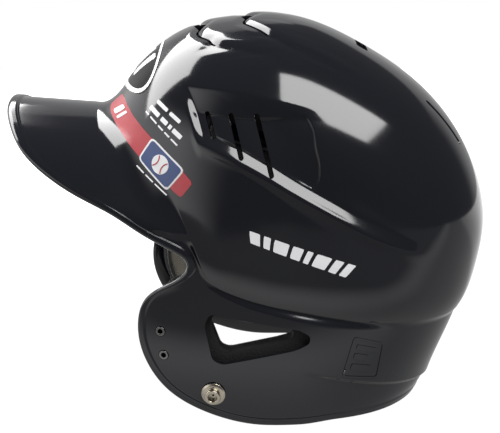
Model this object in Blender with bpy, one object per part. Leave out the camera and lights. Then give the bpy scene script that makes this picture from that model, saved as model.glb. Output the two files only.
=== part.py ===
"""Batting helmet: moulded shell with bill and ear flaps, its padding, guard nuts and chin-strap snaps.

Lengths in this file are millimetres and are scaled to metres when a mesh is made.
The bill points to -Y, the wearer's left is +X and up is +Z.
"""
import bmesh
import bpy
import numpy as np

MM = 0.001
# moves the bounding box's bottom centre to the origin
FRAME_SHIFT = np.array([0.0, 1.09, -0.12])

# shell
WALL = 3.2
LIP_HEIGHT = 1.1
LIP_WIDTH = 5.0
HALF_WIDTH = 94.0
SECTION_POWER = 2.3
DOME_CENTRE = np.array([0.0, 22.0, 115.0])
CROWN_DIRECTION = np.array([0.0, -0.0555, 0.9985])
BAND_CENTRE_Y = 20.0
BAND_FRONT = 155.0
BILL_ARCH_RADIUS = 97.0
BILL_ROOT_HEIGHT = 184.0
BILL_ROOT_Y = -94.0
BILL_RISE = 0.073
SHELL_COLUMNS = 72
ROWS_ABOVE_LEDGE = 7
ROWS_BELOW_LEDGE = 4
LEDGE_ROWS = (-0.021, -0.002, 0.013, 0.045)
FILLET_ROWS = 3
PANEL_ROWS = 7
RIM_ROWS = 4

# centre-line profile of the dome: angle above the rear axis in degrees, radius
DOME_PROFILE = ((-172, 118), (-152, 102), (-128, 88), (-100, 85), (-72, 93), (-48, 112), (-26, 128.2),
                (-14, 128.0), (-2, 128.2), (15, 125.0), (32, 120.8), (48, 117.8), (66, 117.8), (80, 122.2),
                (93, 126.6), (106, 129), (120, 132.8), (133, 132.0), (147, 129.2), (158, 126.8), (170, 123.5))

# the skirt below the dome, bill tip to nape: edge x, y, (z,) brow azimuth, brow elevation, fillet, flap share
BILL_STATIONS = ((0, -151.7, 0, 39.0, 18), (22, -150.8, 10, 38.6, 18), (42, -146.0, 19, 37.0, 18),
                 (58, -137.4, 27.5, 34.0, 17), (69.7, -122.5, 35, 30.0, 16), (77.4, -104.0, 42, 24.5, 14),
                 (82.8, -84.0, 48, 17.5, 12))
FLAP_STATIONS = ((86.5, -66.5, 125.5, 53, 10, 10, 0.3), (88.5, -50, 116, 56.5, 3, 8, 0.7),
                 (87.5, -39.5, 108.5, 59, -3, 7, 1), (86, -38.5, 98.5, 60.5, -8, 6, 1),
                 (83.5, -50, 89, 62.5, -12, 6, 1), (79, -63.5, 79, 65, -14.5, 6, 1),
                 (77.5, -68.3, 63, 68.5, -16.5, 6, 1), (78.5, -65, 43.5, 73, -18.5, 6, 1),
                 (81, -51, 22.5, 78.5, -20.5, 6, 1), (83.5, -27, 8.2, 86, -22.5, 6, 1),
                 (84.5, 0, 0.8, 95, -24.5, 6, 1), (84.5, 25, 0, 105, -26, 6, 1),
                 (81.5, 47, 0.3, 115, -26.8, 6, 1), (74.5, 67.5, 0.3, 127, -27, 6, 1),
                 (62, 86, 0.2, 140, -26.5, 6, 1), (43.5, 100.5, 0.1, 153, -26, 6, 1),
                 (22.5, 108.5, 0, 166.5, -26, 6, 1), (0, 110.5, 0, 180, -26, 6, 1))
# flap and nape band: height, distance behind and beside its centre line
BAND_BACK = ((-40, 86), (0, 90), (2, 91), (8, 95), (16, 98.5), (30, 104.5), (48, 112.6), (62, 118), (90, 126),
             (130, 128))
BAND_SIDE = ((-40, 82), (0, 84.5), (20, 87), (40, 89.5), (60, 91), (80, 91.5), (130, 91.5))
BAND_SPAN = 400.0
LAST_STATION = len(BILL_STATIONS) + len(FLAP_STATIONS) - 1
PERIOD = 2 * LAST_STATION

# side scoop: ledge under the vents, front edge and top edge as y, z
LEDGE = ((-40, 181), (-26, 176.5), (-9, 169.8), (7, 161.6), (23, 152), (47, 138.2), (70, 125), (89, 115.5),
         (115, 103))
SCOOP_TOP = ((-40, 207.5), (-25, 207), (-6, 205.5), (12, 202), (27, 198.6), (45, 194.5), (115, 175))
SCOOP_FRONT = ((-40.0, 206.0), (-31.0, 180.0))
SCOOP_DEPTH = 5.0
SCOOP_TAIL_DEPTH = 4.0
LEDGE_WALL = 3.0
SCOOP_FADE_X = (38, 56)
# the scoop's sloped upper part, the step at its foot and the zone where it turns into the shallow tail
SCOOP_SLOPE = 11.0
SCOOP_STEP = 0.3
SCOOP_REAR = (14, 46)
TAIL_FADE_Y = (35, 112)
TAIL_FADE_UP = (3, 34)
# rounded crest just under the ledge
CREST_HEIGHT = 1.0
CREST_BELOW = 2.2
CREST_WIDTH = 3.4
CREST_FADE_Y = (60, 112)
LEDGE_COLUMNS = (10.8, 21.0)
# soft shoulder over the ear
SHOULDER = ((-60, 104), (-29, 99), (-11, 95), (26, 87), (45, 82.5), (63, 81), (82, 81), (120, 83))
SHOULDER_HEIGHT = 2.6
SHOULDER_REACH = (28.0, 20.0)
SHOULDER_FADE_X = (45, 66)
SHOULDER_START_Y = (-46, -18)
SHOULDER_END_Y = (78, 122)
# shallow step across the nape
NAPE_STEP_DEPTH = 2.0
NAPE_STEP_Z = 44.0
NAPE_STEP_LEAN = 0.27
NAPE_FADE_Y = (30, 55)
# rear edges of the two crown vents: |x|, y
CROWN_VENT_EDGES = (
    ((0, -26), (9, -28.6), (19.5, -31), (25, -29.5), (32, -24.4), (41.6, -17.7), (47, -6), (52, 7), (56, 22),
     (60, 45)),
    ((0, 3), (8, -0.9), (18, -1.9), (24, 2), (32, 8.5), (38.5, 14), (47, 29.4), (50, 42), (52, 57), (54, 80)))
# the same vents: half width, front edge at the middle and at the ends
CROWN_VENTS = ((40.0, -35.2, -19.6), (36.5, -5.6, 10.8))

# openings
CUT_X = (55, 110)
SLOT_WIDTH = 3.0
SIDE_SLOTS = (((-25.2, 192.5), (-21.4, 180)), ((-11.2, 192), (-5.2, 169.5)), ((4, 192), (12.6, 159.5)))
REAR_VENT = (24.0, 7.0)
REAR_VENT_Y = 70.0
REAR_SLOT_X = 26.0
REAR_SLOT_Z = (166.0, 190.0)
REAR_SLOT_WIDTH = 3.8
EAR_HOLE = ((-24.5, 73.5), (30, 64), (36.5, 60), (36, 55), (28, 51), (-17, 41), (-23, 44), (-27.5, 66))
EAR_ROUND = 3.2
# the smaller hole through the ear pad
PAD_HOLE = ((-22.0, 72.0), (21, 65.2), (26.5, 62), (26, 57.5), (20, 55.5), (-13, 47.8), (-18, 50), (-24, 66))
NUTS = ((-54.4, 60.5), (-52.6, 45.3))
NUT_BORE = 3.3
SNAP = (-22.3, 21.5)
SNAP_BORE = 2.4
# turned hardware: radius, height over the shell
NUT_PROFILE = ((1.6, 0.5), (2.9, 0.5), (2.9, -3.7), (5.5, -3.7), (5.5, -4.7), (1.6, -4.7))
STUD_PROFILE = ((0.6, 0.7), (7.4, 0.7), (7.4, 1.2), (6.2, 1.9), (4.4, 2.2), (4.4, 4.6), (4.9, 5.2), (4.6, 5.9),
                (3.0, 5.9), (2.7, 5.4), (2.7, 2.4), (0.6, 2.4))
POST_PROFILE = ((0.8, 0.35), (2.0, 0.35), (2.0, -3.7), (5.0, -3.7), (5.0, -4.7), (0.8, -4.7))

# thin films stuck on the outside
FILM_GAP = 0.6
FILM_THICK = 0.45
BADGE_HALF = (43.5, 12.0)
BADGE_Y = -66.2
BADGE_SWEEP = 3.5
LABEL_UPPER = ((-78.7, 195.3), (-70.8, 186.9), (-58.6, 176.6), (-45.9, 165.7), (-33.6, 154))
LABEL_LOWER = ((-88.1, 186.1), (-79.4, 177.4), (-67.4, 166.2), (-54, 155.5), (-41.2, 144.1))

# padding
FOAM_THICK = 8.5
PAD_THICK = 6.0
PAD_GAP = 0.6
LAYER_GAP = 1.3
SIDE_START = 8.8
SIDE_FOAM_THICK = 6.0
SIDE_PAD_THICK = 5.0
REAR_START = 6.8
EAR_PAD_START = 5.2
EAR_PAD_THICK = 12.0
PATCH_STEPS = 7


def spline(knots, period):
    """Closed cubic curve through (position, value, ...) rows."""
    rows = np.array(knots, float)
    rows = rows[np.argsort(rows[:, 0])]
    at = rows[:, 0]
    val = rows[:, 1:]
    n = len(at)
    gap = np.diff(np.append(at, at[0] + period))
    lhs = np.zeros((n, n))
    rhs = np.zeros(val.shape)
    for i in range(n):
        j = (i + 1) % n
        lhs[i, i - 1] += gap[i - 1]
        lhs[i, i] += 2 * (gap[i - 1] + gap[i])
        lhs[i, j] += gap[i]
        rhs[i] = 6 * ((val[j] - val[i]) / gap[i] - (val[i] - val[i - 1]) / gap[i - 1])
    bend = np.linalg.solve(lhs, rhs)

    def value(t):
        s = (np.asarray(t, float) - at[0]) % period + at[0]
        i = np.clip(np.searchsorted(at, s, side="right") - 1, 0, n - 1)
        j = (i + 1) % n
        span = gap[i][:, None]
        d = (s - at[i])[:, None]
        e = span - d
        cubic = (bend[i] * e ** 3 + bend[j] * d ** 3) / (6 * span)
        return cubic + (val[i] / span - bend[i] * span / 6) * e + (val[j] / span - bend[j] * span / 6) * d

    return value


def path(points):
    """Smooth curve y(x) through points."""
    x, y = np.array(points, float).T
    slope = np.gradient(y, x)

    def value(t):
        t = np.clip(t, x[0], x[-1])
        i = np.clip(np.searchsorted(x, t, side="right") - 1, 0, len(x) - 2)
        span = x[i + 1] - x[i]
        s = (t - x[i]) / span
        a = y[i] * (1 + 2 * s) * (1 - s) ** 2 + slope[i] * span * s * (1 - s) ** 2
        return a + y[i + 1] * s * s * (3 - 2 * s) + slope[i + 1] * span * s * s * (s - 1)

    return value


def ramp(low, high, x):
    t = np.clip((np.asarray(x, float) - low) / (high - low), 0, 1)
    return t * t * (3 - 2 * t)


def unit(v):
    return v / np.maximum(np.linalg.norm(v, axis=-1, keepdims=True), 1e-9)


dome_radius = spline(DOME_PROFILE, 360.0)
band_back = spline(BAND_BACK, BAND_SPAN)
band_side = spline(BAND_SIDE, BAND_SPAN)


def dome(direction):
    """Point of the dome along a direction from its centre."""
    d = unit(direction)
    flat = np.hypot(d[:, 1], d[:, 2])
    angle = np.degrees(np.arctan2(d[:, 2], d[:, 1]))
    r = dome_radius(angle)[:, 0]
    reach = ((np.abs(d[:, 0]) / HALF_WIDTH) ** SECTION_POWER + (flat / r) ** SECTION_POWER) ** (-1 / SECTION_POWER)
    return DOME_CENTRE + d * reach[:, None]


def bill_height(x, y):
    root = BILL_ROOT_HEIGHT + (BILL_ROOT_Y - y) * BILL_RISE
    return root - BILL_ARCH_RADIUS + np.sqrt(np.maximum(BILL_ARCH_RADIUS ** 2 - x ** 2, 1.0))


def band_radius(angle, z):
    """Plan radius of the flap and nape band at an angle from the front."""
    back = np.where(np.cos(angle) < 0, band_back(z)[:, 0], BAND_FRONT)
    return 1 / np.sqrt((np.sin(angle) / band_side(z)[:, 0]) ** 2 + (np.cos(angle) / back) ** 2)


def band_angle(p):
    return np.arctan2(p[:, 0], BAND_CENTRE_Y - p[:, 1])


def station_rows():
    rows = []
    for x, y, azimuth, elevation, fillet in BILL_STATIONS:
        z = float(bill_height(np.array(float(x)), np.array(float(y))))
        rows.append((x, y, z, azimuth, elevation, fillet, 0))
    rows.extend(FLAP_STATIONS)
    rows = np.array(rows, float)
    azimuth = np.radians(rows[:, 3])
    elevation = np.radians(rows[:, 4])
    flat = np.cos(elevation)
    brow = dome(np.stack([np.sin(azimuth) * flat, -np.cos(azimuth) * flat, np.sin(elevation)], 1))
    left = np.hstack([rows[:, :3], brow, rows[:, 5:]])
    right = left[-2:0:-1].copy()
    right[:, (0, 3)] *= -1
    both = np.vstack([left, right])
    return np.hstack([np.arange(len(both))[:, None], both])


stations = spline(station_rows(), PERIOD)


def skirt(u):
    """Brow point, foot of the fillet, free edge and flap share around the helmet."""
    row = stations(u)
    edge = row[:, 0:3]
    brow = dome(row[:, 3:6] - DOME_CENTRE)
    fillet = row[:, 6]
    flap = ramp(0, 1, row[:, 7])[:, None]
    out = unit((brow - DOME_CENTRE)[:, :2])
    way = unit(unit(edge[:, :2] - brow[:, :2]) + out)
    bill_foot = np.empty_like(brow)
    bill_foot[:, :2] = brow[:, :2] + way * fillet[:, None]
    bill_foot[:, 2] = bill_height(bill_foot[:, 0], bill_foot[:, 1])
    share = np.clip(fillet / np.linalg.norm(edge - brow, axis=1), 0, 0.5)
    start = band_angle(brow)
    stop = band_angle(edge)
    start = np.where(u % PERIOD > LAST_STATION, start % (2 * np.pi), start)
    stop = np.where(u % PERIOD > LAST_STATION, stop % (2 * np.pi), stop)
    angle = start + (stop - start) * share
    z = brow[:, 2] + (edge[:, 2] - brow[:, 2]) * share
    r = band_radius(angle, z)
    flap_foot = np.stack([r * np.sin(angle), BAND_CENTRE_Y - r * np.cos(angle), z], 1)
    return brow, bill_foot * (1 - flap) + flap_foot * flap, edge, flap[:, 0]


def panel(foot, edge, flap, w):
    """Point between the fillet's foot (0) and the free edge (1), on the bill or the band."""
    w = w[:, None]
    chord = foot * (1 - w) + edge * w

    def rise(p):
        return bill_height(p[:, 0], p[:, 1]) - p[:, 2]

    def bulge(p):
        flat = np.hypot(p[:, 0], p[:, 1] - BAND_CENTRE_Y)
        return band_radius(band_angle(p), p[:, 2]) - flat

    lift = rise(chord) - rise(foot) * (1 - w[:, 0]) - rise(edge) * w[:, 0]
    push = bulge(chord) - bulge(foot) * (1 - w[:, 0]) - bulge(edge) * w[:, 0]
    out = chord[:, :2] - np.array([0.0, BAND_CENTRE_Y])
    point = chord.copy()
    point[:, 2] += (1 - flap) * lift
    point[:, :2] += (flap * push)[:, None] * unit(out)
    return point


def base_surface(u, v):
    """Smooth outer surface: v 0 to 1 is the dome, 1 to 2 the fillet, 2 to 3 the bill, flaps and nape."""
    brow, foot, edge, flap = skirt(u)
    to_brow = unit(brow - DOME_CENTRE)
    arc = np.arccos(np.clip(to_brow @ CROWN_DIRECTION, -1, 1))[:, None]

    def dome_at(t):
        t = t[:, None]
        return dome((np.sin((1 - t) * arc) * CROWN_DIRECTION + np.sin(t * arc) * to_brow) / np.sin(arc))

    one = np.ones(len(u))
    near = 0.02
    leave = unit(dome_at(one) - dome_at(one - near))
    arrive = unit(panel(foot, edge, flap, one * near) - panel(foot, edge, flap, one * 0))
    length = np.linalg.norm(foot - brow, axis=1, keepdims=True)
    t = np.clip(v - 1, 0, 1)[:, None]
    fillet = brow * (2 * t ** 3 - 3 * t ** 2 + 1) + foot * (3 * t ** 2 - 2 * t ** 3)
    fillet = fillet + leave * length * (t ** 3 - 2 * t ** 2 + t) + arrive * length * (t ** 3 - t ** 2)
    reach = np.linalg.norm(edge - foot, axis=1)
    trimmed = 1 - 0.5 * WALL / reach
    low = panel(foot, edge, flap, np.clip(v - 2, 0, 1) * trimmed)
    pick = v[:, None]
    return np.where(pick <= 1, dome_at(np.clip(v, 0, 1)), np.where(pick <= 2, fillet, low)), flap


def base_normal(u, v):
    step_u = 0.02
    step_v = 0.004
    inner = np.clip(v, 0.03, 3 - step_v)
    across = base_surface(u + step_u, inner)[0] - base_surface(u - step_u, inner)[0]
    down = base_surface(u, inner + step_v)[0] - base_surface(u, inner - step_v)[0]
    n = unit(np.cross(down, across))
    at_crown = v < 0.03
    n[at_crown] = CROWN_DIRECTION
    return n


ledge_z = path(LEDGE)
scoop_top_z = path(SCOOP_TOP)
shoulder_z = path(SHOULDER)
crown_lines = [path(edge) for edge in CROWN_VENT_EDGES]


def relief(p, v, reach):
    """Outward height of the moulded details over the base surface, and the part the inside follows."""
    x = np.abs(p[:, 0])
    y = p[:, 1]
    z = p[:, 2]
    side = ramp(*SCOOP_FADE_X, x) * (v <= 1.0)

    above = (z - ledge_z(y)) * 0.87
    (fy0, fz0), (fy1, fz1) = SCOOP_FRONT
    behind = ((y - fy0) * (fz0 - fz1) + (z - fz0) * (fy1 - fy0)) / np.hypot(fy1 - fy0, fz1 - fz0)
    below = scoop_top_z(y) - z
    wall = ramp(0, LEDGE_WALL, above)
    bottom = SCOOP_STEP * ramp(SCOOP_SLOPE - 0.5, SCOOP_SLOPE + 1.5, below)
    flat = ramp(0, LEDGE_WALL, behind) * ((1 - SCOOP_STEP) * ramp(0, 1, below / SCOOP_SLOPE) + bottom)
    rear = ramp(*SCOOP_REAR, y)
    tail = (1 - ramp(*TAIL_FADE_Y, y)) * (1 - ramp(*TAIL_FADE_UP, above)) * ramp(0, LEDGE_WALL, behind)
    sunk = wall * ((1 - rear) * SCOOP_DEPTH * flat + rear * SCOOP_TAIL_DEPTH * tail) * side
    ridge = np.exp(-((above + CREST_BELOW) / CREST_WIDTH) ** 2) * ramp(0, LEDGE_WALL, behind + 4)
    crest = CREST_HEIGHT * ridge * (1 - ramp(*CREST_FADE_Y, y)) * side

    off = z - shoulder_z(y)
    width = np.where(off > 0, *SHOULDER_REACH)
    round_side = ramp(*SHOULDER_FADE_X, x) * ramp(*SHOULDER_START_Y, y) * (1 - ramp(*SHOULDER_END_Y, y))
    shoulder = SHOULDER_HEIGHT * np.exp(-(off / width) ** 2) * round_side * (1 - ramp(1, 2, v))

    under_step = 1 - ramp(-1.2, 1.2, z - (NAPE_STEP_Z - NAPE_STEP_LEAN * y))
    nape = -NAPE_STEP_DEPTH * ramp(*NAPE_FADE_Y, y) * under_step * ramp(2, 2.2, v)
    lip = LIP_HEIGHT * (1 - ramp(LIP_WIDTH - 1.5, LIP_WIDTH, reach))
    return shoulder - sunk + crest + nape + lip, shoulder - sunk, shoulder


def skin(u, v):
    """Outer point, inner point and normal of the shell's wall."""
    point, flap = base_surface(u, v)
    normal = base_normal(u, v)
    edge = base_surface(u, np.full(len(u), 3.0))[0]
    reach = np.where(v > 2, np.linalg.norm(edge - point, axis=1), 1e3) + 1e3 * ramp(0.4, 1.0, flap)
    height, followed, _ = relief(point, v, reach)
    return point + normal * height[:, None], point + normal * (followed - WALL)[:, None], normal


def ledge_level(u):
    """Level at which the scoop's ledge crosses each column, held constant past its ends."""
    column = np.clip(np.minimum(u, PERIOD - u), *LEDGE_COLUMNS)
    low = np.full(len(u), 0.35)
    high = np.full(len(u), 0.97)
    for _ in range(24):
        middle = (low + high) / 2
        point = base_surface(column, middle)[0]
        over = point[:, 2] > ledge_z(point[:, 1])
        low = np.where(over, middle, low)
        high = np.where(over, high, middle)
    return (low + high) / 2


def on_surface(first, second, axes, columns, levels):
    """Station and level of the outer points that have two given coordinates."""
    uu, vv = np.meshgrid(np.linspace(*columns, 61), np.linspace(*levels, 61), indexing="ij")
    uu = uu.ravel()
    vv = vv.ravel()
    seen = skin(uu, vv)[0][:, axes]
    aim = np.column_stack([first, second])
    best = np.argmin(((seen[None] - aim[:, None]) ** 2).sum(2), axis=1)
    u = uu[best]
    v = vv[best]
    step = 0.01
    for _ in range(5):
        here = skin(u, v)[0][:, axes]
        du = (skin(u + step, v)[0][:, axes] - here) / step
        dv = (skin(u, v + step)[0][:, axes] - here) / step
        miss = aim - here
        det = du[:, 0] * dv[:, 1] - du[:, 1] * dv[:, 0]
        u = u + np.clip((miss[:, 0] * dv[:, 1] - miss[:, 1] * dv[:, 0]) / det, -0.4, 0.4)
        v = v + np.clip((du[:, 0] * miss[:, 1] - du[:, 1] * miss[:, 0]) / det, -0.05, 0.05)
    return u, v


def deeper(u, v, depth):
    """Point a given depth below the outer surface, measured without the scoops."""
    point, _ = base_surface(u, v)
    normal = base_normal(u, v)
    soft = relief(point, v, np.full(len(u), 1e3))[2]
    return point + normal * (soft - depth)[:, None]


def material(name, rgb, metallic=0.0, roughness=0.5):
    mat = bpy.data.materials.get(name)
    if mat is None:
        mat = bpy.data.materials.new(name)
        mat.use_nodes = True
        shader = mat.node_tree.nodes["Principled BSDF"]
        shader.inputs["Base Color"].default_value = (*rgb, 1.0)
        shader.inputs["Metallic"].default_value = metallic
        shader.inputs["Roughness"].default_value = roughness
    return mat


def add_object(name, points, faces, mat, smooth=True):
    mesh = bpy.data.meshes.new(name)
    placed = (np.asarray(points, float) + FRAME_SHIFT) * MM
    mesh.from_pydata(placed.tolist(), [], faces)
    bm = bmesh.new()
    bm.from_mesh(mesh)
    bmesh.ops.remove_doubles(bm, verts=bm.verts, dist=1e-6)
    bmesh.ops.recalc_face_normals(bm, faces=bm.faces)
    bm.to_mesh(mesh)
    bm.free()
    mesh.materials.append(mat)
    mesh.shade_smooth() if smooth else mesh.shade_flat()
    obj = bpy.data.objects.new(name, mesh)
    bpy.context.scene.collection.objects.link(obj)
    return obj


def cut(target, cutter):
    cutter.hide_render = True
    cutter.display_type = "WIRE"
    mod = target.modifiers.new("cut_" + cutter.name, "BOOLEAN")
    mod.operation = "DIFFERENCE"
    mod.solver = "EXACT"
    mod.object = cutter


def ring_faces(first, second, closed=True):
    n = len(first)
    last = n if closed else n - 1
    return [(first[i], first[(i + 1) % n], second[(i + 1) % n], second[i]) for i in range(last)]


def make_shell(mat):
    u = np.linspace(0, PERIOD, SHELL_COLUMNS, endpoint=False)
    ledge = ledge_level(u)
    levels = [(ledge + LEDGE_ROWS[0]) * k / ROWS_ABOVE_LEDGE for k in range(1, ROWS_ABOVE_LEDGE)]
    levels += [ledge + offset for offset in LEDGE_ROWS]
    last = ledge + LEDGE_ROWS[-1]
    levels += [last + (1 - last) * k / ROWS_BELOW_LEDGE for k in range(1, ROWS_BELOW_LEDGE + 1)]
    levels += [np.full(len(u), 1 + k / FILLET_ROWS) for k in range(1, FILLET_ROWS + 1)]
    levels += [np.full(len(u), 2 + k / PANEL_ROWS) for k in range(1, PANEL_ROWS + 1)]
    outer = []
    inner = []
    for v in levels:
        top, bottom, _ = skin(u, v)
        outer.append(top)
        inner.append(bottom)
    pole_u = np.array([0.0])
    pole_v = np.array([0.0])
    pole_top, pole_bottom, _ = skin(pole_u, pole_v)
    top = outer[-1]
    bottom = inner[-1]
    middle = (top + bottom) / 2
    half = (top - bottom) / 2
    along = np.roll(middle, -1, 0) - np.roll(middle, 1, 0)
    away = unit(np.cross(along, half))
    away *= np.sign(np.sum(away * (outer[-1] - outer[-2]), axis=1, keepdims=True))
    size = np.linalg.norm(half, axis=1, keepdims=True)
    rim = []
    for k in range(1, RIM_ROWS):
        turn = np.pi * k / RIM_ROWS
        rim.append(middle + half * np.cos(turn) + away * size * np.sin(turn))
    loops = outer + rim + inner[::-1]
    points = np.vstack([pole_top] + loops + [pole_bottom])
    rings = [list(range(1 + k * SHELL_COLUMNS, 1 + (k + 1) * SHELL_COLUMNS)) for k in range(len(loops))]
    faces = []
    for first, second in zip(rings, rings[1:]):
        faces += ring_faces(first, second)
    end = len(points) - 1
    for i in range(SHELL_COLUMNS):
        j = (i + 1) % SHELL_COLUMNS
        faces.append((0, rings[0][j], rings[0][i]))
        faces.append((end, rings[-1][i], rings[-1][j]))
    return add_object("shell", points, faces, mat)


def rounded_grid(steps, other_steps, power):
    """Grid squeezed to a rounded outline, as s and t from -1 to 1."""
    s, t = np.meshgrid(np.linspace(-1, 1, steps), np.linspace(-1, 1, other_steps), indexing="ij")
    big = np.maximum(np.abs(s), np.abs(t))
    norm = (np.abs(s) ** power + np.abs(t) ** power) ** (1 / power)
    k = np.where(norm > 0, big / np.maximum(norm, 1e-9), 1)
    return s * k, t * k


def make_patch(name, where, depth, thick, mat, steps=(PATCH_STEPS, PATCH_STEPS), power=5.0, drawn_share=0.08):
    """Sheet between two depths under the shell, with its edge drawn in on both faces."""
    s, t = rounded_grid(*steps, power)
    shape = s.shape
    rim = np.zeros(shape, bool)
    rim[0, :] = rim[-1, :] = rim[:, 0] = rim[:, -1] = True
    s = s.ravel()
    t = t.ravel()
    drawn = np.where(rim.ravel(), drawn_share * thick, 0.0)
    top = where(s, t, depth + drawn)
    bottom = where(s, t, depth + thick - drawn)
    n, m = shape
    points = np.vstack([top, bottom])
    count = n * m

    def at(i, j, layer):
        return i * m + j + layer * count

    faces = []
    for i in range(n - 1):
        for j in range(m - 1):
            faces.append((at(i, j, 0), at(i + 1, j, 0), at(i + 1, j + 1, 0), at(i, j + 1, 0)))
            faces.append((at(i, j, 1), at(i, j + 1, 1), at(i + 1, j + 1, 1), at(i + 1, j, 1)))
    border = [(i, 0) for i in range(n - 1)] + [(n - 1, j) for j in range(m - 1)]
    border += [(i, m - 1) for i in range(n - 1, 0, -1)] + [(0, j) for j in range(m - 1, 0, -1)]
    faces += ring_faces([at(i, j, 0) for i, j in border], [at(i, j, 1) for i, j in border])
    return add_object(name, points, faces, mat)


def strip_region(u_mid, u_half, v_mid, v_half, mirror=False):
    """Patch placed by station and level on the shell."""
    def where(s, t, depth):
        u = u_mid + u_half * s
        if mirror:
            u = -u
        return deeper(u % PERIOD, v_mid + v_half * t, depth)
    return where


def badge_region():
    """Oval lying across the forehead, set out in plan."""
    def where(s, t, depth):
        x = BADGE_HALF[0] * s
        y = BADGE_Y + BADGE_HALF[1] * t + BADGE_SWEEP * s * s
        u, v = on_surface(np.abs(x), y, (0, 1), (-0.5, 6.0), (0.5, 1.0))
        point, _, normal = skin(u, v)
        point[:, 0] *= np.where(x < 0, -1, 1)
        normal[:, 0] *= np.where(x < 0, -1, 1)
        return point - normal * np.asarray(depth)[:, None]
    return where


def label_region():
    """Strip running back along the left side of the brow, set out from the side."""
    upper = np.array(LABEL_UPPER)
    lower = np.array(LABEL_LOWER)

    def where(s, t, depth):
        along = (s + 1) / 2
        share = (t + 1) / 2
        y = label_paths[0](along) * share + label_paths[2](along) * (1 - share)
        z = label_paths[1](along) * share + label_paths[3](along) * (1 - share)
        u, v = on_surface(y, z, (1, 2), (0.5, 9.5), (0.6, 1.7))
        point, _, normal = skin(u, v)
        return point - normal * np.asarray(depth)[:, None]

    def column(rows, k):
        return path(np.column_stack([np.linspace(0, 1, len(rows)), rows[:, k]]))

    label_paths = (column(upper, 0), column(upper, 1), column(lower, 0), column(lower, 1))
    return where


def crown_region(half_x, y_low, y_high):
    def where(s, t, depth):
        aim = np.stack([half_x * s, (y_low + y_high) / 2 + (y_high - y_low) / 2 * t - DOME_CENTRE[1],
                        np.full(len(s), 124.0)], 1)
        point = dome(aim)
        near = 0.01
        side = dome(aim + np.array([near, 0, 0]) * 124) - point
        back = dome(aim + np.array([0, near, 0]) * 124) - point
        return point - unit(np.cross(side, back)) * np.asarray(depth)[:, None]
    return where


def side_point(y, z, mirror=False):
    """Outer point and normal of the flap at a fore-aft position and a height."""
    u, v = on_surface([y], [z], (1, 2), (9.5, 20.5), (2.0, 2.95))
    point, _, normal = skin(u, v)
    point = point[0]
    normal = normal[0]
    if mirror:
        point[0] *= -1
        normal[0] *= -1
    return point, normal


def lathe(name, origin, axis, profile, mat, sides=20, smooth=True):
    """Turned piece: profile is a closed loop of radius, height along the axis."""
    axis = unit(axis)
    across = unit(np.cross(axis, np.array([0.0, 0.0, 1.0])))
    third = np.cross(axis, across)
    points = []
    rings = []
    for r, h in profile:
        ring = []
        for k in range(sides):
            turn = 2 * np.pi * k / sides
            ring.append(len(points))
            points.append(origin + axis * h + (across * np.cos(turn) + third * np.sin(turn)) * r)
        rings.append(ring)
    faces = []
    for first, second in zip(rings, rings[1:] + rings[:1]):
        faces += ring_faces(first, second)
    return add_object(name, points, faces, mat, smooth)


def rod(name, origin, axis, r, low, high, mat, sides=20):
    axis = unit(axis)
    across = unit(np.cross(axis, np.array([0.0, 0.0, 1.0])))
    third = np.cross(axis, across)
    turns = 2 * np.pi * np.arange(sides) / sides
    circle = (np.cos(turns)[:, None] * across + np.sin(turns)[:, None] * third) * r
    points = np.vstack([origin + axis * low + circle, origin + axis * high + circle])
    first = list(range(sides))
    second = list(range(sides, 2 * sides))
    faces = ring_faces(first, second) + [tuple(reversed(first)), tuple(second)]
    return add_object(name, points, faces, mat)


def prism(name, outline, low, high, mat):
    """Cutter: outline rows of 3-D points pushed from low to high (two 3-D offsets)."""
    outline = np.asarray(outline, float)
    n = len(outline)
    points = np.vstack([outline + np.asarray(low, float), outline + np.asarray(high, float)])
    first = list(range(n))
    second = list(range(n, 2 * n))
    faces = ring_faces(first, second) + [tuple(reversed(first)), tuple(second)]
    return add_object(name, points, faces, mat, smooth=False)


def rounded_outline(corners, radius, steps=3):
    """Closed outline with its corners rounded."""
    corners = np.array(corners, float)
    n = len(corners)
    out = []
    for i in range(n):
        here = corners[i]
        before = corners[i - 1] - here
        after = corners[(i + 1) % n] - here
        take = min(radius, 0.45 * np.linalg.norm(before), 0.45 * np.linalg.norm(after))
        a = here + before / np.linalg.norm(before) * take
        b = here + after / np.linalg.norm(after) * take
        for k in range(steps + 1):
            t = k / steps
            out.append(a * (1 - t) ** 2 + here * 2 * t * (1 - t) + b * t ** 2)
    return np.array(out)


def slot_outline(start, stop, width, steps=4):
    start = np.array(start, float)
    stop = np.array(stop, float)
    way = (stop - start) / np.linalg.norm(stop - start)
    across = np.array([-way[1], way[0]])
    out = []
    for centre, turn in ((stop, -np.pi / 2), (start, np.pi / 2)):
        for k in range(steps + 1):
            a = turn + np.pi * k / steps
            out.append(centre + (way * np.cos(a) + across * np.sin(a)) * width / 2)
    return np.array(out)


def side_outline(flat, mirror):
    flat = np.asarray(flat)
    points = np.column_stack([np.zeros(len(flat)), flat])
    return points[::-1] if mirror else points


def crown_vent_outline(line, half, front_mid, front_end):
    """Crescent mouth in front of a crown scale."""
    xs = np.linspace(-half, half, 13)
    rear = line(np.abs(xs)) - 0.6
    share = (np.abs(xs) / half) ** 1.2
    ends = line(np.array([half]))[0] - 1.9
    front = np.minimum(front_mid * (1 - share) + ends * share, rear - 1.6)
    flat = np.vstack([np.column_stack([xs, front]), np.column_stack([xs[::-1], rear[::-1]])])
    return np.column_stack([flat, np.zeros(len(flat))])


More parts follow.
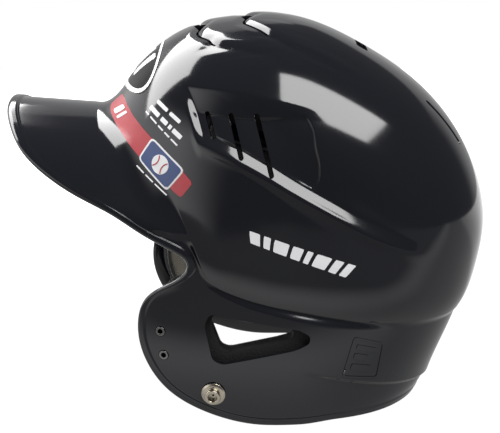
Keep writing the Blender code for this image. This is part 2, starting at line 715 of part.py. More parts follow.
def build():
    for obj in list(bpy.data.objects):
        bpy.data.objects.remove(obj, do_unlink=True)

    plastic = material("shell_plastic", (0.012, 0.013, 0.02), roughness=0.12)
    foam = material("impact_foam", (0.03, 0.03, 0.032), roughness=0.85)
    fabric = material("pad_fabric", (0.27, 0.26, 0.23), roughness=0.95)
    charcoal = material("pad_fabric_dark", (0.03, 0.03, 0.032), roughness=0.95)
    nickel = material("nickel", (0.72, 0.69, 0.64), metallic=1.0, roughness=0.25)
    badge_mat = material("badge_film", (0.02, 0.02, 0.022), roughness=0.2)
    label_mat = material("label_film", (0.45, 0.03, 0.04), roughness=0.25)
    tool = material("cutter", (1.0, 0.2, 0.2))

    shell = make_shell(plastic)
    film_top = -FILM_GAP - FILM_THICK
    make_patch("front_badge", badge_region(), film_top, FILM_THICK, badge_mat, steps=(13, 7), power=2.0,
               drawn_share=0.0)
    make_patch("brow_label", label_region(), film_top, FILM_THICK, label_mat, steps=(13, 4), power=14.0,
               drawn_share=0.0)
    ear_flat = rounded_outline(EAR_HOLE, EAR_ROUND)

    make_patch("front_foam", strip_region(0, 5.0, 0.70, 0.24), WALL + PAD_GAP, FOAM_THICK, foam)
    depth = WALL + PAD_GAP + FOAM_THICK + LAYER_GAP
    make_patch("front_pad", strip_region(0, 4.8, 0.72, 0.235), depth, PAD_THICK, fabric)
    make_patch("crown_foam", crown_region(38, 12, 62), WALL + PAD_GAP + 0.6, FOAM_THICK, foam)
    make_patch("crown_pad", crown_region(36, 14, 60), depth + 0.6, PAD_THICK, charcoal)
    make_patch("rear_foam", strip_region(LAST_STATION, 3.6, 0.78, 0.19), REAR_START, FOAM_THICK, foam)
    make_patch("rear_pad", strip_region(LAST_STATION, 3.4, 0.78, 0.18), REAR_START + FOAM_THICK + LAYER_GAP,
               PAD_THICK, charcoal)
    make_patch("nape_pad", strip_region(LAST_STATION, 3.4, 2.42, 0.36), WALL + PAD_GAP, FOAM_THICK, fabric)
    for side, mirror in (("left", False), ("right", True)):
        make_patch(side + "_side_foam", strip_region(13.8, 5.4, 0.80, 0.155, mirror), SIDE_START,
                   SIDE_FOAM_THICK, foam)
        make_patch(side + "_side_pad", strip_region(13.8, 5.2, 0.80, 0.145, mirror),
                   SIDE_START + SIDE_FOAM_THICK + LAYER_GAP, SIDE_PAD_THICK, charcoal)
        ear = make_patch(side + "_ear_pad", strip_region(15.0, 4.3, 2.49, 0.42, mirror), EAR_PAD_START,
                         EAR_PAD_THICK, fabric, steps=(PATCH_STEPS + 2, PATCH_STEPS + 2))
        sign = -1 if mirror else 1
        low, high = (sign * CUT_X[0], 0, 0), (sign * CUT_X[1], 0, 0)
        hole = prism(side + "_ear_cutter", side_outline(ear_flat, mirror), low, high, tool)
        cut(shell, hole)
        pad_flat = side_outline(rounded_outline(PAD_HOLE, EAR_ROUND), mirror)
        cut(ear, prism(side + "_pad_cutter", pad_flat, low, high, tool))
        for k, (start, stop) in enumerate(SIDE_SLOTS):
            flat = slot_outline(start, stop, SLOT_WIDTH)
            cut(shell, prism("%s_slot_%d_cutter" % (side, k), side_outline(flat, mirror), low, high, tool))
        x = REAR_SLOT_X * sign
        flat = slot_outline((x, REAR_SLOT_Z[0]), (x, REAR_SLOT_Z[1]), REAR_SLOT_WIDTH)
        outline = np.column_stack([flat[:, 0], np.zeros(len(flat)), flat[:, 1]])
        slot = prism(side + "_rear_slot_cutter", outline, (0, 90, 0), (0, 160, 0), tool)
        cut(shell, slot)
        for label, (y, z) in zip(("upper", "lower"), NUTS):
            point, normal = side_point(y, z, mirror)
            cut(shell, rod("%s_%s_nut_cutter" % (side, label), point, normal, NUT_BORE, -12, 6, tool))
            lathe("%s_guard_nut_%s" % (side, label), point, normal, NUT_PROFILE, nickel)
        point, normal = side_point(*SNAP, mirror)
        cut(shell, rod(side + "_snap_cutter", point, normal, SNAP_BORE, -12, 6, tool))
        lathe(side + "_snap_stud", point, normal, STUD_PROFILE, nickel, sides=24)
        lathe(side + "_snap_post", point, normal, POST_PROFILE, nickel)

    for k, (line, (half, mid, end)) in enumerate(zip(crown_lines, CROWN_VENTS)):
        outline = crown_vent_outline(line, half, mid, end)
        cut(shell, prism("crown_vent_%d_cutter" % k, outline, (0, 0, 215), (0, 0, 260), tool))
    half_x = REAR_VENT[0] / 2
    half_y = REAR_VENT[1] / 2
    corners = ((-half_x, REAR_VENT_Y - half_y), (half_x, REAR_VENT_Y - half_y),
               (half_x, REAR_VENT_Y + half_y), (-half_x, REAR_VENT_Y + half_y))
    flat = rounded_outline(corners, 2.5)
    outline = np.column_stack([flat, np.zeros(len(flat))])
    cut(shell, prism("rear_vent_cutter", outline, (0, 0, 200), (0, 0, 245), tool))
    return shell


build()
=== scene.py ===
"""Looks of the batting helmet: moulded shell, quilted padding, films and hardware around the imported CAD.

Lengths are millimetres in the CAD source's own coordinates, scaled to metres when a mesh is made.
The bill points to -Y, the wearer's left is +X and up is +Z.
"""

import bmesh
import bpy
import numpy as np
from mathutils import Matrix, Vector


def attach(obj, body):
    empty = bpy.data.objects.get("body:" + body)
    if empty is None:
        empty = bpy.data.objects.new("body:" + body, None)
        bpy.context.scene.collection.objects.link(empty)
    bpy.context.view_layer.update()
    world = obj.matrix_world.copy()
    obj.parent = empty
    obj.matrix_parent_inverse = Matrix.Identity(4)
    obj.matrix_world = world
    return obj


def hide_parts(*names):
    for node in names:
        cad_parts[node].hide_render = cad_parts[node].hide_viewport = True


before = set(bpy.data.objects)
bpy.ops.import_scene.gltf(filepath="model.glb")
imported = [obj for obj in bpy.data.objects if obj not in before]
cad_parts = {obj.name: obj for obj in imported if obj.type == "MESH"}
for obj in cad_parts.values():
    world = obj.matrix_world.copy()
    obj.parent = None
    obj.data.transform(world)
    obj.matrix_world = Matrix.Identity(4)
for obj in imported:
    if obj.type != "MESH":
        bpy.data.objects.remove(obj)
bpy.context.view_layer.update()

MM = 0.001
# moves the bounding box's bottom centre to the origin
FRAME_SHIFT = np.array([0.0, 1.09, -0.12])

# shell
WALL = 3.2
LIP_HEIGHT = 1.1
LIP_WIDTH = 5.0
HALF_WIDTH = 94.0
SECTION_POWER = 2.3
DOME_CENTRE = np.array([0.0, 22.0, 115.0])
CROWN_DIRECTION = np.array([0.0, -0.0555, 0.9985])
BAND_CENTRE_Y = 20.0
BAND_FRONT = 155.0
BILL_ARCH_RADIUS = 97.0
BILL_ROOT_HEIGHT = 184.0
BILL_ROOT_Y = -94.0
BILL_RISE = 0.073
LEDGE_ROWS = (-0.021, -0.002, 0.013, 0.045)

# centre-line profile of the dome: angle above the rear axis in degrees, radius
DOME_PROFILE = (
    (-172, 118), (-152, 102), (-128, 88), (-100, 85), (-72, 93), (-48, 112), (-26, 128.2), (-14, 128.0),
    (-2, 128.2), (15, 125.0), (32, 120.8), (48, 117.8), (66, 117.8), (80, 122.2), (93, 126.6), (106, 129),
    (120, 132.8), (133, 132.0), (147, 129.2), (158, 126.8), (170, 123.5))

# the skirt below the dome, bill tip to nape: edge x, y, z, brow azimuth, brow elevation, fillet, flap share
BILL_STATIONS = (
     (0, -151.7, 0, 39.0, 18), (22, -150.8, 10, 38.6, 18), (42, -146.0, 19, 37.0, 18),
    (58, -137.4, 27.5, 34.0, 17), (69.7, -122.5, 35, 30.0, 16), (77.4, -104.0, 42, 24.5, 14),
    (82.8, -84.0, 48, 17.5, 12))
FLAP_STATIONS = (
     (86.5, -66.5, 125.5, 53, 10, 10, 0.3), (88.5, -50, 116, 56.5, 3, 8, 0.7),
    (87.5, -39.5, 108.5, 59, -3, 7, 1), (86, -38.5, 98.5, 60.5, -8, 6, 1),
    (83.5, -50, 89, 62.5, -12, 6, 1), (79, -63.5, 79, 65, -14.5, 6, 1),
    (77.5, -68.3, 63, 68.5, -16.5, 6, 1), (78.5, -65, 43.5, 73, -18.5, 6, 1),
    (81, -51, 22.5, 78.5, -20.5, 6, 1), (83.5, -27, 8.2, 86, -22.5, 6, 1),
    (84.5, 0, 0.8, 95, -24.5, 6, 1), (84.5, 25, 0, 105, -26, 6, 1), (81.5, 47, 0.3, 115, -26.8, 6, 1),
    (74.5, 67.5, 0.3, 127, -27, 6, 1), (62, 86, 0.2, 140, -26.5, 6, 1),
    (43.5, 100.5, 0.1, 153, -26, 6, 1), (22.5, 108.5, 0, 166.5, -26, 6, 1), (0, 110.5, 0, 180, -26, 6, 1))
# rear and side radius of the flap and nape band by height
BAND_BACK = (
    (-40, 86), (0, 90), (2, 91), (8, 95), (16, 98.5), (30, 104.5), (48, 112.6), (62, 118), (90, 126),
    (130, 128))
BAND_SIDE = ((-40, 82), (0, 84.5), (20, 87), (40, 89.5), (60, 91), (80, 91.5), (130, 91.5))
BAND_PERIOD = 400.0
LAST_STATION = len(BILL_STATIONS) + len(FLAP_STATIONS) - 1
PERIOD = 2 * LAST_STATION

# side scoop: ledge under the vents, front edge and top edge as y, z
LEDGE = ((-40, 181), (-26, 176.5), (-9, 169.8), (7, 161.6), (23, 152), (47, 138.2), (70, 125), (89, 115.5),
         (115, 103))
SCOOP_TOP = ((-40, 207.5), (-25, 207), (-6, 205.5), (12, 202), (27, 198.6), (45, 194.5), (115, 175))
SCOOP_FRONT = ((-40.0, 206.0), (-31.0, 180.0))
SCOOP_DEPTH = 5.0
SCOOP_TAIL_DEPTH = 4.0
LEDGE_WALL = 3.0
LEDGE_COLUMNS = (10.8, 21.0)
# soft shoulder over the ear
SHOULDER = ((-60, 104), (-29, 99), (-11, 95), (26, 87), (45, 82.5), (63, 81), (82, 81), (120, 83))
SHOULDER_HEIGHT = 2.6
SHOULDER_REACH = (28.0, 20.0)
# rear edges of the two crown vents: |x|, y
CROWN_VENT_EDGES = (
     ((0, -26), (9, -28.6), (19.5, -31), (25, -29.5), (32, -24.4), (41.6, -17.7), (47, -6), (52, 7),
    (56, 22), (60, 45)), ((0, 3), (8, -0.9), (18, -1.9), (24, 2), (32, 8.5), (38.5, 14), (47, 29.4),
    (50, 42), (52, 57), (54, 80)))
# the same vents: half width, front edge at the middle and at the ends
CROWN_VENTS = ((40.0, -35.2, -19.6), (36.5, -5.6, 10.8))

# openings
SLOT_WIDTH = 3.0
SIDE_SLOTS = (((-25.2, 192.5), (-21.4, 180)), ((-11.2, 192), (-5.2, 169.5)), ((4, 192), (12.6, 159.5)))
REAR_VENT = (24.0, 7.0)
REAR_VENT_Y = 70.0
REAR_SLOT_X = 26.0
REAR_SLOT_Z = (166.0, 190.0)
EAR_HOLE = ((-24.5, 73.5), (30, 64), (36.5, 60), (36, 55), (28, 51), (-17, 41), (-23, 44), (-27.5, 66))
EAR_ROUND = 3.2
# the smaller hole through the ear pad
PAD_HOLE = (
    (-22.0, 72.0), (21, 65.2), (26.5, 62), (26, 57.5), (20, 55.5), (-13, 47.8), (-18, 50), (-24, 66))
NUTS = ((-54.4, 60.5), (-52.6, 45.3))
SNAP = (-22.3, 21.5)

# thin films stuck on the outside
BADGE_HALF = (43.5, 12.0)
BADGE_Y = -66.2
BADGE_SWEEP = 3.5
LABEL_UPPER = ((-78.7, 195.3), (-70.8, 186.9), (-58.6, 176.6), (-45.9, 165.7), (-33.6, 154))
LABEL_LOWER = ((-88.1, 186.1), (-79.4, 177.4), (-67.4, 166.2), (-54, 155.5), (-41.2, 144.1))

# padding
FOAM_THICK = 8.5
PAD_THICK = 6.0
PAD_GAP = 0.6
LAYER_GAP = 1.3
SIDE_START = 8.8
SIDE_FOAM_THICK = 6.0
SIDE_PAD_THICK = 5.0
REAR_START = 6.8
EAR_PAD_START = 5.2
EAR_PAD_THICK = 12.0
CROWN_EXTRA = 0.6

# fine shell
OUTER_COLUMNS = 720
INNER_COLUMNS = 240
OUTER_COUNTS = (170, 22, 36, 14, 56, 14)
INNER_COUNTS = (40, 6, 14, 6, 26, 4)
RIM_STEPS = 10
DOME_CROWDING = 0.5
LIP_ZONE = 8.0
REAR_SLOT_WIDTH = 3.8
NUT_BORE = 3.3
SNAP_BORE = 2.4
SIDE_CUT = (55.0, 110.0)
BORE_CUT = (-12.0, 6.0)

# moulded detail finer than the CAD
SCALE_FADE_X = (34, 66)
SCALE_FADE_Z = (205, 222)
SCALE_RISE = 0.9
SCALE_DIP = 1.3
SCALE_ROLL = 9.0
FLAP_LIP_SHARE = 0.25
FLAP_LIP_LESS = 0.55
LOUVRE_LEAN = 0.24
LOUVRE_EDGES = (-24.7, -11.0, 4.2)
LOUVRE_FALL = 0.9
LOUVRE_TOP = 0.8
LOUVRE_LOW = 1.8
LEDGE_RISE = 5.4
LEDGE_DEPTH = 1.7
CARRY_EXTRA = 0.8
TOP_DEPTH = 6.4
TAIL_DEPTH = 3.2
FRONT_WALL = 3.2
BEVEL_WIDTH = 8.0
PANEL_STEP = 0.8
CREST_RISE = 1.0
NAPE_STEP = 2.0
# rear end of the scoop's flat panel: height, y
PANEL_END = (
    (151, 37), (155, 40), (163, 41.2), (175, 38.8), (188, 36), (192, 33.5), (197.7, 26.6), (206, 12))

# studio
CAMERA_TARGET = (0.0, 0.00109, 0.10988)
CAMERA_DISTANCE = 1.0
CAMERA_ELEVATION = 15.5
CAMERA_LENS = 110.8
LIT_POINT = (0.0, -0.05, 0.2)
SWEEP_GLOW = 0.45
FRONT_GLOW = 2.0
DARK_GLOW = 0.09
AMBIENT_GLOW = 0.4
# floor glow seen in reflections: painted shade before and behind the helmet, a painted shadow of the helmet
# under it, painted light far beyond it
FLOOR_GLOW = 0.2
UNDER_FLOOR_SHADOW_GLOW = 0.6
REAR_FLOOR_GLOW = 0.7
FAR_FLOOR_GLOW = 2.2
FLOOR_RINGS = (0.3, 0.7, 1.2)

# decals: rows of (y, z) corners, upper front first, going round
DECAL_LOW = 0.05
DECAL_LAYER = 0.16
TILE = ((-58.1, 177.5), (-38.4, 160.8), (-49.5, 147.4), (-67.0, 164.2))
WORDMARK = ((-4.0, 128.5), (63.4, 105.0), (60.0, 97.0), (0.0, 120.0))
WORDMARK_BARS = ((-1.0, -0.80), (-0.73, -0.60), (-0.53, -0.25), (-0.18, 0.02), (0.09, 0.20), (0.27, 0.55),
                 (0.62, 0.78), (0.85, 1.0))
EMBOSS_RISE = 0.55
EMBOSS_SUNK = 0.1
EMBOSS_BARS = ((-0.7, 0.7, 0.45, 0.7), (-0.7, 0.2, -0.05, 0.25), (-0.7, 0.5, -0.65, -0.3))
EMBOSS = ((63.4, 57.2), (81.6, 50.5), (78.2, 27.8), (56.6, 31.8))
# lines of lettering shown as plain dashes: start y, z, end y, z, height, dashes along the line
TEXT_LINES = (
    (-55.4, 197.4, -41.3, 187.4, 2.3, ((-1.0, -0.1), (0.1, 1.0))),
    (-59.8, 193.8, -40.6, 178.8, 2.8, ((-1.0, -0.42), (-0.28, 0.1), (0.2, 0.36), (0.46, 1.0))),
    (-62.6, 190.8, -43.0, 174.4, 1.0, ((-1.0, -0.8), (-0.7, -0.3), (-0.2, 0.1), (0.2, 0.5), (0.6, 1.0))),
    (-67.9, 160.4, -49.4, 145.2, 0.8, ((-1.0, -0.5), (-0.4, 0.1), (0.2, 1.0))))

# padding
SIM_FRAMES = 20
PRESSURE = 4.0
PAD_INSET = 0.8
PAD_SHRINK = 2.2
PAD_GRID = 3.6
PAD_CAP = 2.6
PAD_BACK_CAP = 1.0
CHANNEL_DEPTH = 1.6
CHANNEL_WIDTH = 1.7
PIPING_RADIUS = 1.1
PIPING_PITCH = 1.6
CLOTH_EDGE = 0.2
BINDING_GROWTH = 1.2
# finishes, metres
STITCH_HEIGHT = 0.0005
PORE_DEPTH = 0.0003
EAR_BODY_THICK = 8.0

# turned hardware: radius, height over the shell
TURNED_ROUND = 0.25
NUT_PROFILE = ((1.6, 0.5), (2.9, 0.5), (2.9, -3.7), (5.5, -3.7), (5.5, -4.7), (1.6, -4.7))
STUD_PROFILE = (
    (0.6, 0.7), (7.4, 0.7), (7.4, 1.2), (6.2, 1.9), (4.4, 2.2), (4.4, 4.6), (4.9, 5.2), (4.6, 5.9),
    (3.0, 5.9), (2.7, 5.4), (2.7, 2.4), (0.6, 2.4))
POST_PROFILE = ((0.8, 0.35), (2.0, 0.35), (2.0, -3.7), (5.0, -3.7), (5.0, -4.7), (0.8, -4.7))


# ---------------------------------------------------------------- the helmet's own surface

def spline(knots, period):
    """Closed cubic curve through (position, value, ...) rows."""
    rows = np.array(knots, float)
    rows = rows[np.argsort(rows[:, 0])]
    at = rows[:, 0]
    val = rows[:, 1:]
    n = len(at)
    gap = np.diff(np.append(at, at[0] + period))
    lhs = np.zeros((n, n))
    rhs = np.zeros(val.shape)
    for i in range(n):
        j = (i + 1) % n
        lhs[i, i - 1] += gap[i - 1]
        lhs[i, i] += 2 * (gap[i - 1] + gap[i])
        lhs[i, j] += gap[i]
        rhs[i] = 6 * ((val[j] - val[i]) / gap[i] - (val[i] - val[i - 1]) / gap[i - 1])
    bend = np.linalg.solve(lhs, rhs)

    def value(t):
        s = (np.asarray(t, float) - at[0]) % period + at[0]
        i = np.clip(np.searchsorted(at, s, side="right") - 1, 0, n - 1)
        j = (i + 1) % n
        span = gap[i][:, None]
        d = (s - at[i])[:, None]
        e = span - d
        cubic = (bend[i] * e ** 3 + bend[j] * d ** 3) / (6 * span)
        return cubic + (val[i] / span - bend[i] * span / 6) * e + (val[j] / span - bend[j] * span / 6) * d

    return value


def path(points):
    """Smooth curve y(x) through points."""
    x, y = np.array(points, float).T
    slope = np.gradient(y, x)

    def value(t):
        t = np.clip(t, x[0], x[-1])
        i = np.clip(np.searchsorted(x, t, side="right") - 1, 0, len(x) - 2)
        span = x[i + 1] - x[i]
        s = (t - x[i]) / span
        a = y[i] * (1 + 2 * s) * (1 - s) ** 2 + slope[i] * span * s * (1 - s) ** 2
        return a + y[i + 1] * s * s * (3 - 2 * s) + slope[i + 1] * span * s * s * (s - 1)

    return value


def ramp(low, high, x):
    t = np.clip((np.asarray(x, float) - low) / (high - low), 0, 1)
    return t * t * (3 - 2 * t)


def unit(v):
    return v / np.maximum(np.linalg.norm(v, axis=-1, keepdims=True), 1e-9)


dome_radius = spline(DOME_PROFILE, 360.0)
band_back = spline(BAND_BACK, BAND_PERIOD)
band_side = spline(BAND_SIDE, BAND_PERIOD)


def dome(direction):
    """Point of the dome along a direction from its centre."""
    d = unit(direction)
    flat = np.hypot(d[:, 1], d[:, 2])
    angle = np.degrees(np.arctan2(d[:, 2], d[:, 1]))
    r = dome_radius(angle)[:, 0]
    swell = (np.abs(d[:, 0]) / HALF_WIDTH) ** SECTION_POWER + (flat / r) ** SECTION_POWER
    return DOME_CENTRE + d * (swell ** (-1 / SECTION_POWER))[:, None]


def bill_height(x, y):
    root = BILL_ROOT_HEIGHT + (BILL_ROOT_Y - y) * BILL_RISE
    return root - BILL_ARCH_RADIUS + np.sqrt(np.maximum(BILL_ARCH_RADIUS ** 2 - x ** 2, 1.0))


def band_radius(angle, z):
    """Plan radius of the flap and nape band at an angle from the front."""
    back = np.where(np.cos(angle) < 0, band_back(z)[:, 0], BAND_FRONT)
    return 1 / np.sqrt((np.sin(angle) / band_side(z)[:, 0]) ** 2 + (np.cos(angle) / back) ** 2)


def band_angle(p):
    return np.arctan2(p[:, 0], BAND_CENTRE_Y - p[:, 1])


def station_rows():
    rows = []
    for x, y, azimuth, elevation, fillet in BILL_STATIONS:
        z = float(bill_height(np.array(float(x)), np.array(float(y))))
        rows.append((x, y, z, azimuth, elevation, fillet, 0))
    rows.extend(FLAP_STATIONS)
    rows = np.array(rows, float)
    azimuth = np.radians(rows[:, 3])
    elevation = np.radians(rows[:, 4])
    flat = np.cos(elevation)
    brow = dome(np.stack([np.sin(azimuth) * flat, -np.cos(azimuth) * flat, np.sin(elevation)], 1))
    left = np.hstack([rows[:, :3], brow, rows[:, 5:]])
    right = left[-2:0:-1].copy()
    right[:, (0, 3)] *= -1
    both = np.vstack([left, right])
    return np.hstack([np.arange(len(both))[:, None], both])


stations = spline(station_rows(), PERIOD)


def skirt(u):
    """Brow point, foot of the fillet, free edge and flap share around the helmet."""
    row = stations(u)
    edge = row[:, 0:3]
    brow = dome(row[:, 3:6] - DOME_CENTRE)
    fillet = row[:, 6]
    flap = ramp(0, 1, row[:, 7])[:, None]
    out = unit((brow - DOME_CENTRE)[:, :2])
    way = unit(unit(edge[:, :2] - brow[:, :2]) + out)
    bill_foot = np.empty_like(brow)
    bill_foot[:, :2] = brow[:, :2] + way * fillet[:, None]
    bill_foot[:, 2] = bill_height(bill_foot[:, 0], bill_foot[:, 1])
    share = np.clip(fillet / np.linalg.norm(edge - brow, axis=1), 0, 0.5)
    start = band_angle(brow)
    stop = band_angle(edge)
    start = np.where(u % PERIOD > LAST_STATION, start % (2 * np.pi), start)
    stop = np.where(u % PERIOD > LAST_STATION, stop % (2 * np.pi), stop)
    angle = start + (stop - start) * share
    z = brow[:, 2] + (edge[:, 2] - brow[:, 2]) * share
    r = band_radius(angle, z)
    flap_foot = np.stack([r * np.sin(angle), BAND_CENTRE_Y - r * np.cos(angle), z], 1)
    return brow, bill_foot * (1 - flap) + flap_foot * flap, edge, flap[:, 0]


def panel(foot, edge, flap, w):
    """Point between the fillet's foot (0) and the free edge (1), on the bill or the band."""
    w = w[:, None]
    chord = foot * (1 - w) + edge * w

    def rise(p):
        return bill_height(p[:, 0], p[:, 1]) - p[:, 2]

    def bulge(p):
        flat = np.hypot(p[:, 0], p[:, 1] - BAND_CENTRE_Y)
        return band_radius(band_angle(p), p[:, 2]) - flat

    lift = rise(chord) - rise(foot) * (1 - w[:, 0]) - rise(edge) * w[:, 0]
    push = bulge(chord) - bulge(foot) * (1 - w[:, 0]) - bulge(edge) * w[:, 0]
    out = chord[:, :2] - np.array([0.0, BAND_CENTRE_Y])
    point = chord.copy()
    point[:, 2] += (1 - flap) * lift
    point[:, :2] += (flap * push)[:, None] * unit(out)
    return point


def base_surface(u, v):
    """Smooth outer surface: v 0 to 1 is the dome, 1 to 2 the fillet, 2 to 3 the bill, flaps and nape."""
    brow, foot, edge, flap = skirt(u)
    to_brow = unit(brow - DOME_CENTRE)
    arc = np.arccos(np.clip(to_brow @ CROWN_DIRECTION, -1, 1))[:, None]

    def dome_at(t):
        t = t[:, None]
        return dome((np.sin((1 - t) * arc) * CROWN_DIRECTION + np.sin(t * arc) * to_brow) / np.sin(arc))

    one = np.ones(len(u))
    near = 0.02
    leave = unit(dome_at(one) - dome_at(one - near))
    arrive = unit(panel(foot, edge, flap, one * near) - panel(foot, edge, flap, one * 0))
    length = np.linalg.norm(foot - brow, axis=1, keepdims=True)
    t = np.clip(v - 1, 0, 1)[:, None]
    fillet = brow * (2 * t ** 3 - 3 * t ** 2 + 1) + foot * (3 * t ** 2 - 2 * t ** 3)
    fillet = fillet + leave * length * (t ** 3 - 2 * t ** 2 + t) + arrive * length * (t ** 3 - t ** 2)
    reach = np.linalg.norm(edge - foot, axis=1)
    trimmed = 1 - 0.5 * WALL / reach
    low = panel(foot, edge, flap, np.clip(v - 2, 0, 1) * trimmed)
    pick = v[:, None]
    return np.where(pick <= 1, dome_at(np.clip(v, 0, 1)), np.where(pick <= 2, fillet, low)), flap


def base_normal(u, v):
    step_u = 0.02
    step_v = 0.004
    inner = np.clip(v, 0.03, 3 - step_v)
    across = base_surface(u + step_u, inner)[0] - base_surface(u - step_u, inner)[0]
    down = base_surface(u, inner + step_v)[0] - base_surface(u, inner - step_v)[0]
    n = unit(np.cross(down, across))
    at_crown = v < 0.03
    n[at_crown] = CROWN_DIRECTION
    return n


ledge_z = path(LEDGE)
scoop_top_z = path(SCOOP_TOP)
shoulder_z = path(SHOULDER)
panel_end_y = path(PANEL_END)
crown_lines = [path(edge) for edge in CROWN_VENT_EDGES]


def bevel(low, high, x, soft):
    """Straight rise from 0 to 1 with both corners rounded."""
    a = np.hypot(np.asarray(x, float) - low, soft)
    b = np.hypot(np.asarray(x, float) - high, soft)
    return np.clip(0.5 + (a - b) / (2 * (high - low)), 0, 1)


def relief(p, v, reach):
    """Outward height of the moulded details over the base surface, and the part the inside follows."""
    x = np.abs(p[:, 0])
    y = p[:, 1]
    z = p[:, 2]
    side = ramp(38, 56, x) * (v <= 1.0)

    above = (z - ledge_z(y)) * 0.87
    (fy0, fz0), (fy1, fz1) = SCOOP_FRONT
    behind = ((y - fy0) * (fz0 - fz1) + (z - fz0) * (fy1 - fy0)) / np.hypot(fy1 - fy0, fz1 - fz0)
    below = scoop_top_z(y) - z
    front = bevel(-0.4, FRONT_WALL, behind, 0.4)
    slant = BEVEL_WIDTH * (1 - ramp(-10, 40, y)) + 5.0
    slope = 0.8 * bevel(0, slant, below, 0.5)
    foot = 0.2 * ramp(slant - 0.6, slant + 1.0, below) * ramp(3, 9, behind)
    flat = front * (slope + foot)
    rear = ramp(-4, 46, y)
    tail = front * (1 - ramp(50, 116, y)) * (1 - ramp(3, 34, above))
    depth_inside = SCOOP_DEPTH + CARRY_EXTRA * np.clip(above / 26, 0, 1)
    carried = (1 - rear) * depth_inside * flat + rear * SCOOP_TAIL_DEPTH * tail
    carried = carried * ramp(0, LEDGE_WALL, above) * side
    deep = LEDGE_DEPTH + (TOP_DEPTH - LEDGE_DEPTH) * np.clip(above / 26, 0, 1)
    sunk = ((1 - rear) * deep * flat + rear * TAIL_DEPTH * tail) * bevel(-0.6, LEDGE_RISE, above, 0.5)
    back_step = 1 - ramp(-0.7, 0.7, y - panel_end_y(z))
    end_step = PANEL_STEP * back_step * ramp(12, 34, y) * ramp(LEDGE_RISE, LEDGE_RISE + 3, above)
    sunk = (sunk + end_step * ramp(3, 6, below)) * side
    crest = CREST_RISE * np.exp(-((above + 2.2) / 3.4) ** 2) * ramp(0, LEDGE_WALL, behind + 4)
    crest = crest * (1 - ramp(60, 112, y)) * side

    off = z - shoulder_z(y)
    width = np.where(off > 0, *SHOULDER_REACH)
    round_side = ramp(45, 66, x) * ramp(-46, -18, y) * (1 - ramp(78, 122, y))
    shoulder = SHOULDER_HEIGHT * np.exp(-(off / width) ** 2) * round_side * (1 - ramp(1, 2, v))

    nape = -NAPE_STEP * ramp(30, 55, y) * (1 - ramp(-1.2, 1.2, z - (44 - 0.27 * y))) * ramp(2, 2.2, v)
    lip = LIP_HEIGHT * (1 - ramp(LIP_WIDTH - 1.5, LIP_WIDTH, reach))

    # scales on the crown: each one rises to a lip behind its vent
    crown = 0.0
    strength = (1 - ramp(*SCALE_FADE_X, x)) * ramp(*SCALE_FADE_Z, z) * (v <= 1.0)
    for line in crown_lines:
        slope = line(x + 0.5) - line(x - 0.5)
        off_line = (y - line(x)) / np.sqrt(1 + slope ** 2)
        step = 1 - (1 - np.clip((off_line + 1.2) / SCALE_ROLL, 0, 1)) ** 3
        crown = crown + SCALE_RISE * step * (1 - ramp(0, 24, off_line)) * strength
        crown = crown - SCALE_DIP * (1 - ramp(0, 9, -off_line)) * (1 - step) * strength

    # louvres between the side slots: each facet rises towards the next slot
    inside = ramp(0.5, 2.5, behind) * ramp(LEDGE_RISE - 1, LEDGE_RISE + 1, above) * side
    inside = inside * ramp(slant, slant + 2, below)
    along = y + LOUVRE_LEAN * (z - 195)
    low_share = 1 - ramp(0, 30, above)
    louvre = 0.0
    for start, stop in zip(LOUVRE_EDGES, LOUVRE_EDGES[1:]):
        share = np.clip((along - start) / (stop - start), 0, 1)
        risen = 1 - (1 - share) ** 2
        rise = LOUVRE_TOP + (LOUVRE_LOW - LOUVRE_TOP) * low_share
        louvre = louvre + rise * risen * (1 - ramp(stop - LOUVRE_FALL, stop, along))
    return shoulder - sunk + crest + nape + lip + crown + louvre * inside, shoulder - carried, shoulder


def skin(u, v):
    """Outer point, inner point and normal of the shell's wall."""
    point, flap = base_surface(u, v)
    normal = base_normal(u, v)
    edge = base_surface(u, np.full(len(u), 3.0))[0]
    reach = np.where(v > 2, np.linalg.norm(edge - point, axis=1), 1e3) * (1 + FLAP_LIP_SHARE * flap)
    height, followed, _ = relief(point, v, reach)
    height = height - FLAP_LIP_LESS * LIP_HEIGHT * flap * (1 - ramp(LIP_WIDTH - 1.5, LIP_WIDTH, reach))
    return point + normal * height[:, None], point + normal * (followed - WALL)[:, None], normal


def ledge_level(u):
    """Level at which the scoop's ledge crosses each column, held constant past its ends."""
    column = np.clip(np.minimum(u, PERIOD - u), *LEDGE_COLUMNS)
    low = np.full(len(u), 0.35)
    high = np.full(len(u), 0.97)
    for _ in range(24):
        middle = (low + high) / 2
        point = base_surface(column, middle)[0]
        over = point[:, 2] > ledge_z(point[:, 1])
        low = np.where(over, middle, low)
        high = np.where(over, high, middle)
    return (low + high) / 2


def outer_skin(u, v):
    return skin(u, v)[0]


searched = {}


def on_surface(first, second, axes, columns, levels, surface=outer_skin):
    """Station and level of the outer points that have two given coordinates."""
    key = (columns, levels, surface is outer_skin)
    if key not in searched or surface is not outer_skin:
        uu, vv = np.meshgrid(np.linspace(*columns, 61), np.linspace(*levels, 61), indexing="ij")
        searched[key] = (uu.ravel(), vv.ravel(), surface(uu.ravel(), vv.ravel()))
    uu, vv, seen = searched[key]
    seen = seen[:, axes]
    aim = np.column_stack([first, second])
    best = np.argmin(((seen[None] - aim[:, None]) ** 2).sum(2), axis=1)
    u = uu[best]
    v = vv[best]
    step = 0.01
    for _ in range(5):
        here = surface(u, v)[:, axes]
        du = (surface(u + step, v)[:, axes] - here) / step
        dv = (surface(u, v + step)[:, axes] - here) / step
        miss = aim - here
        det = du[:, 0] * dv[:, 1] - du[:, 1] * dv[:, 0]
        u = u + np.clip((miss[:, 0] * dv[:, 1] - miss[:, 1] * dv[:, 0]) / det, -0.4, 0.4)
        v = v + np.clip((du[:, 0] * miss[:, 1] - du[:, 1] * miss[:, 0]) / det, -0.05, 0.05)
    return u, v


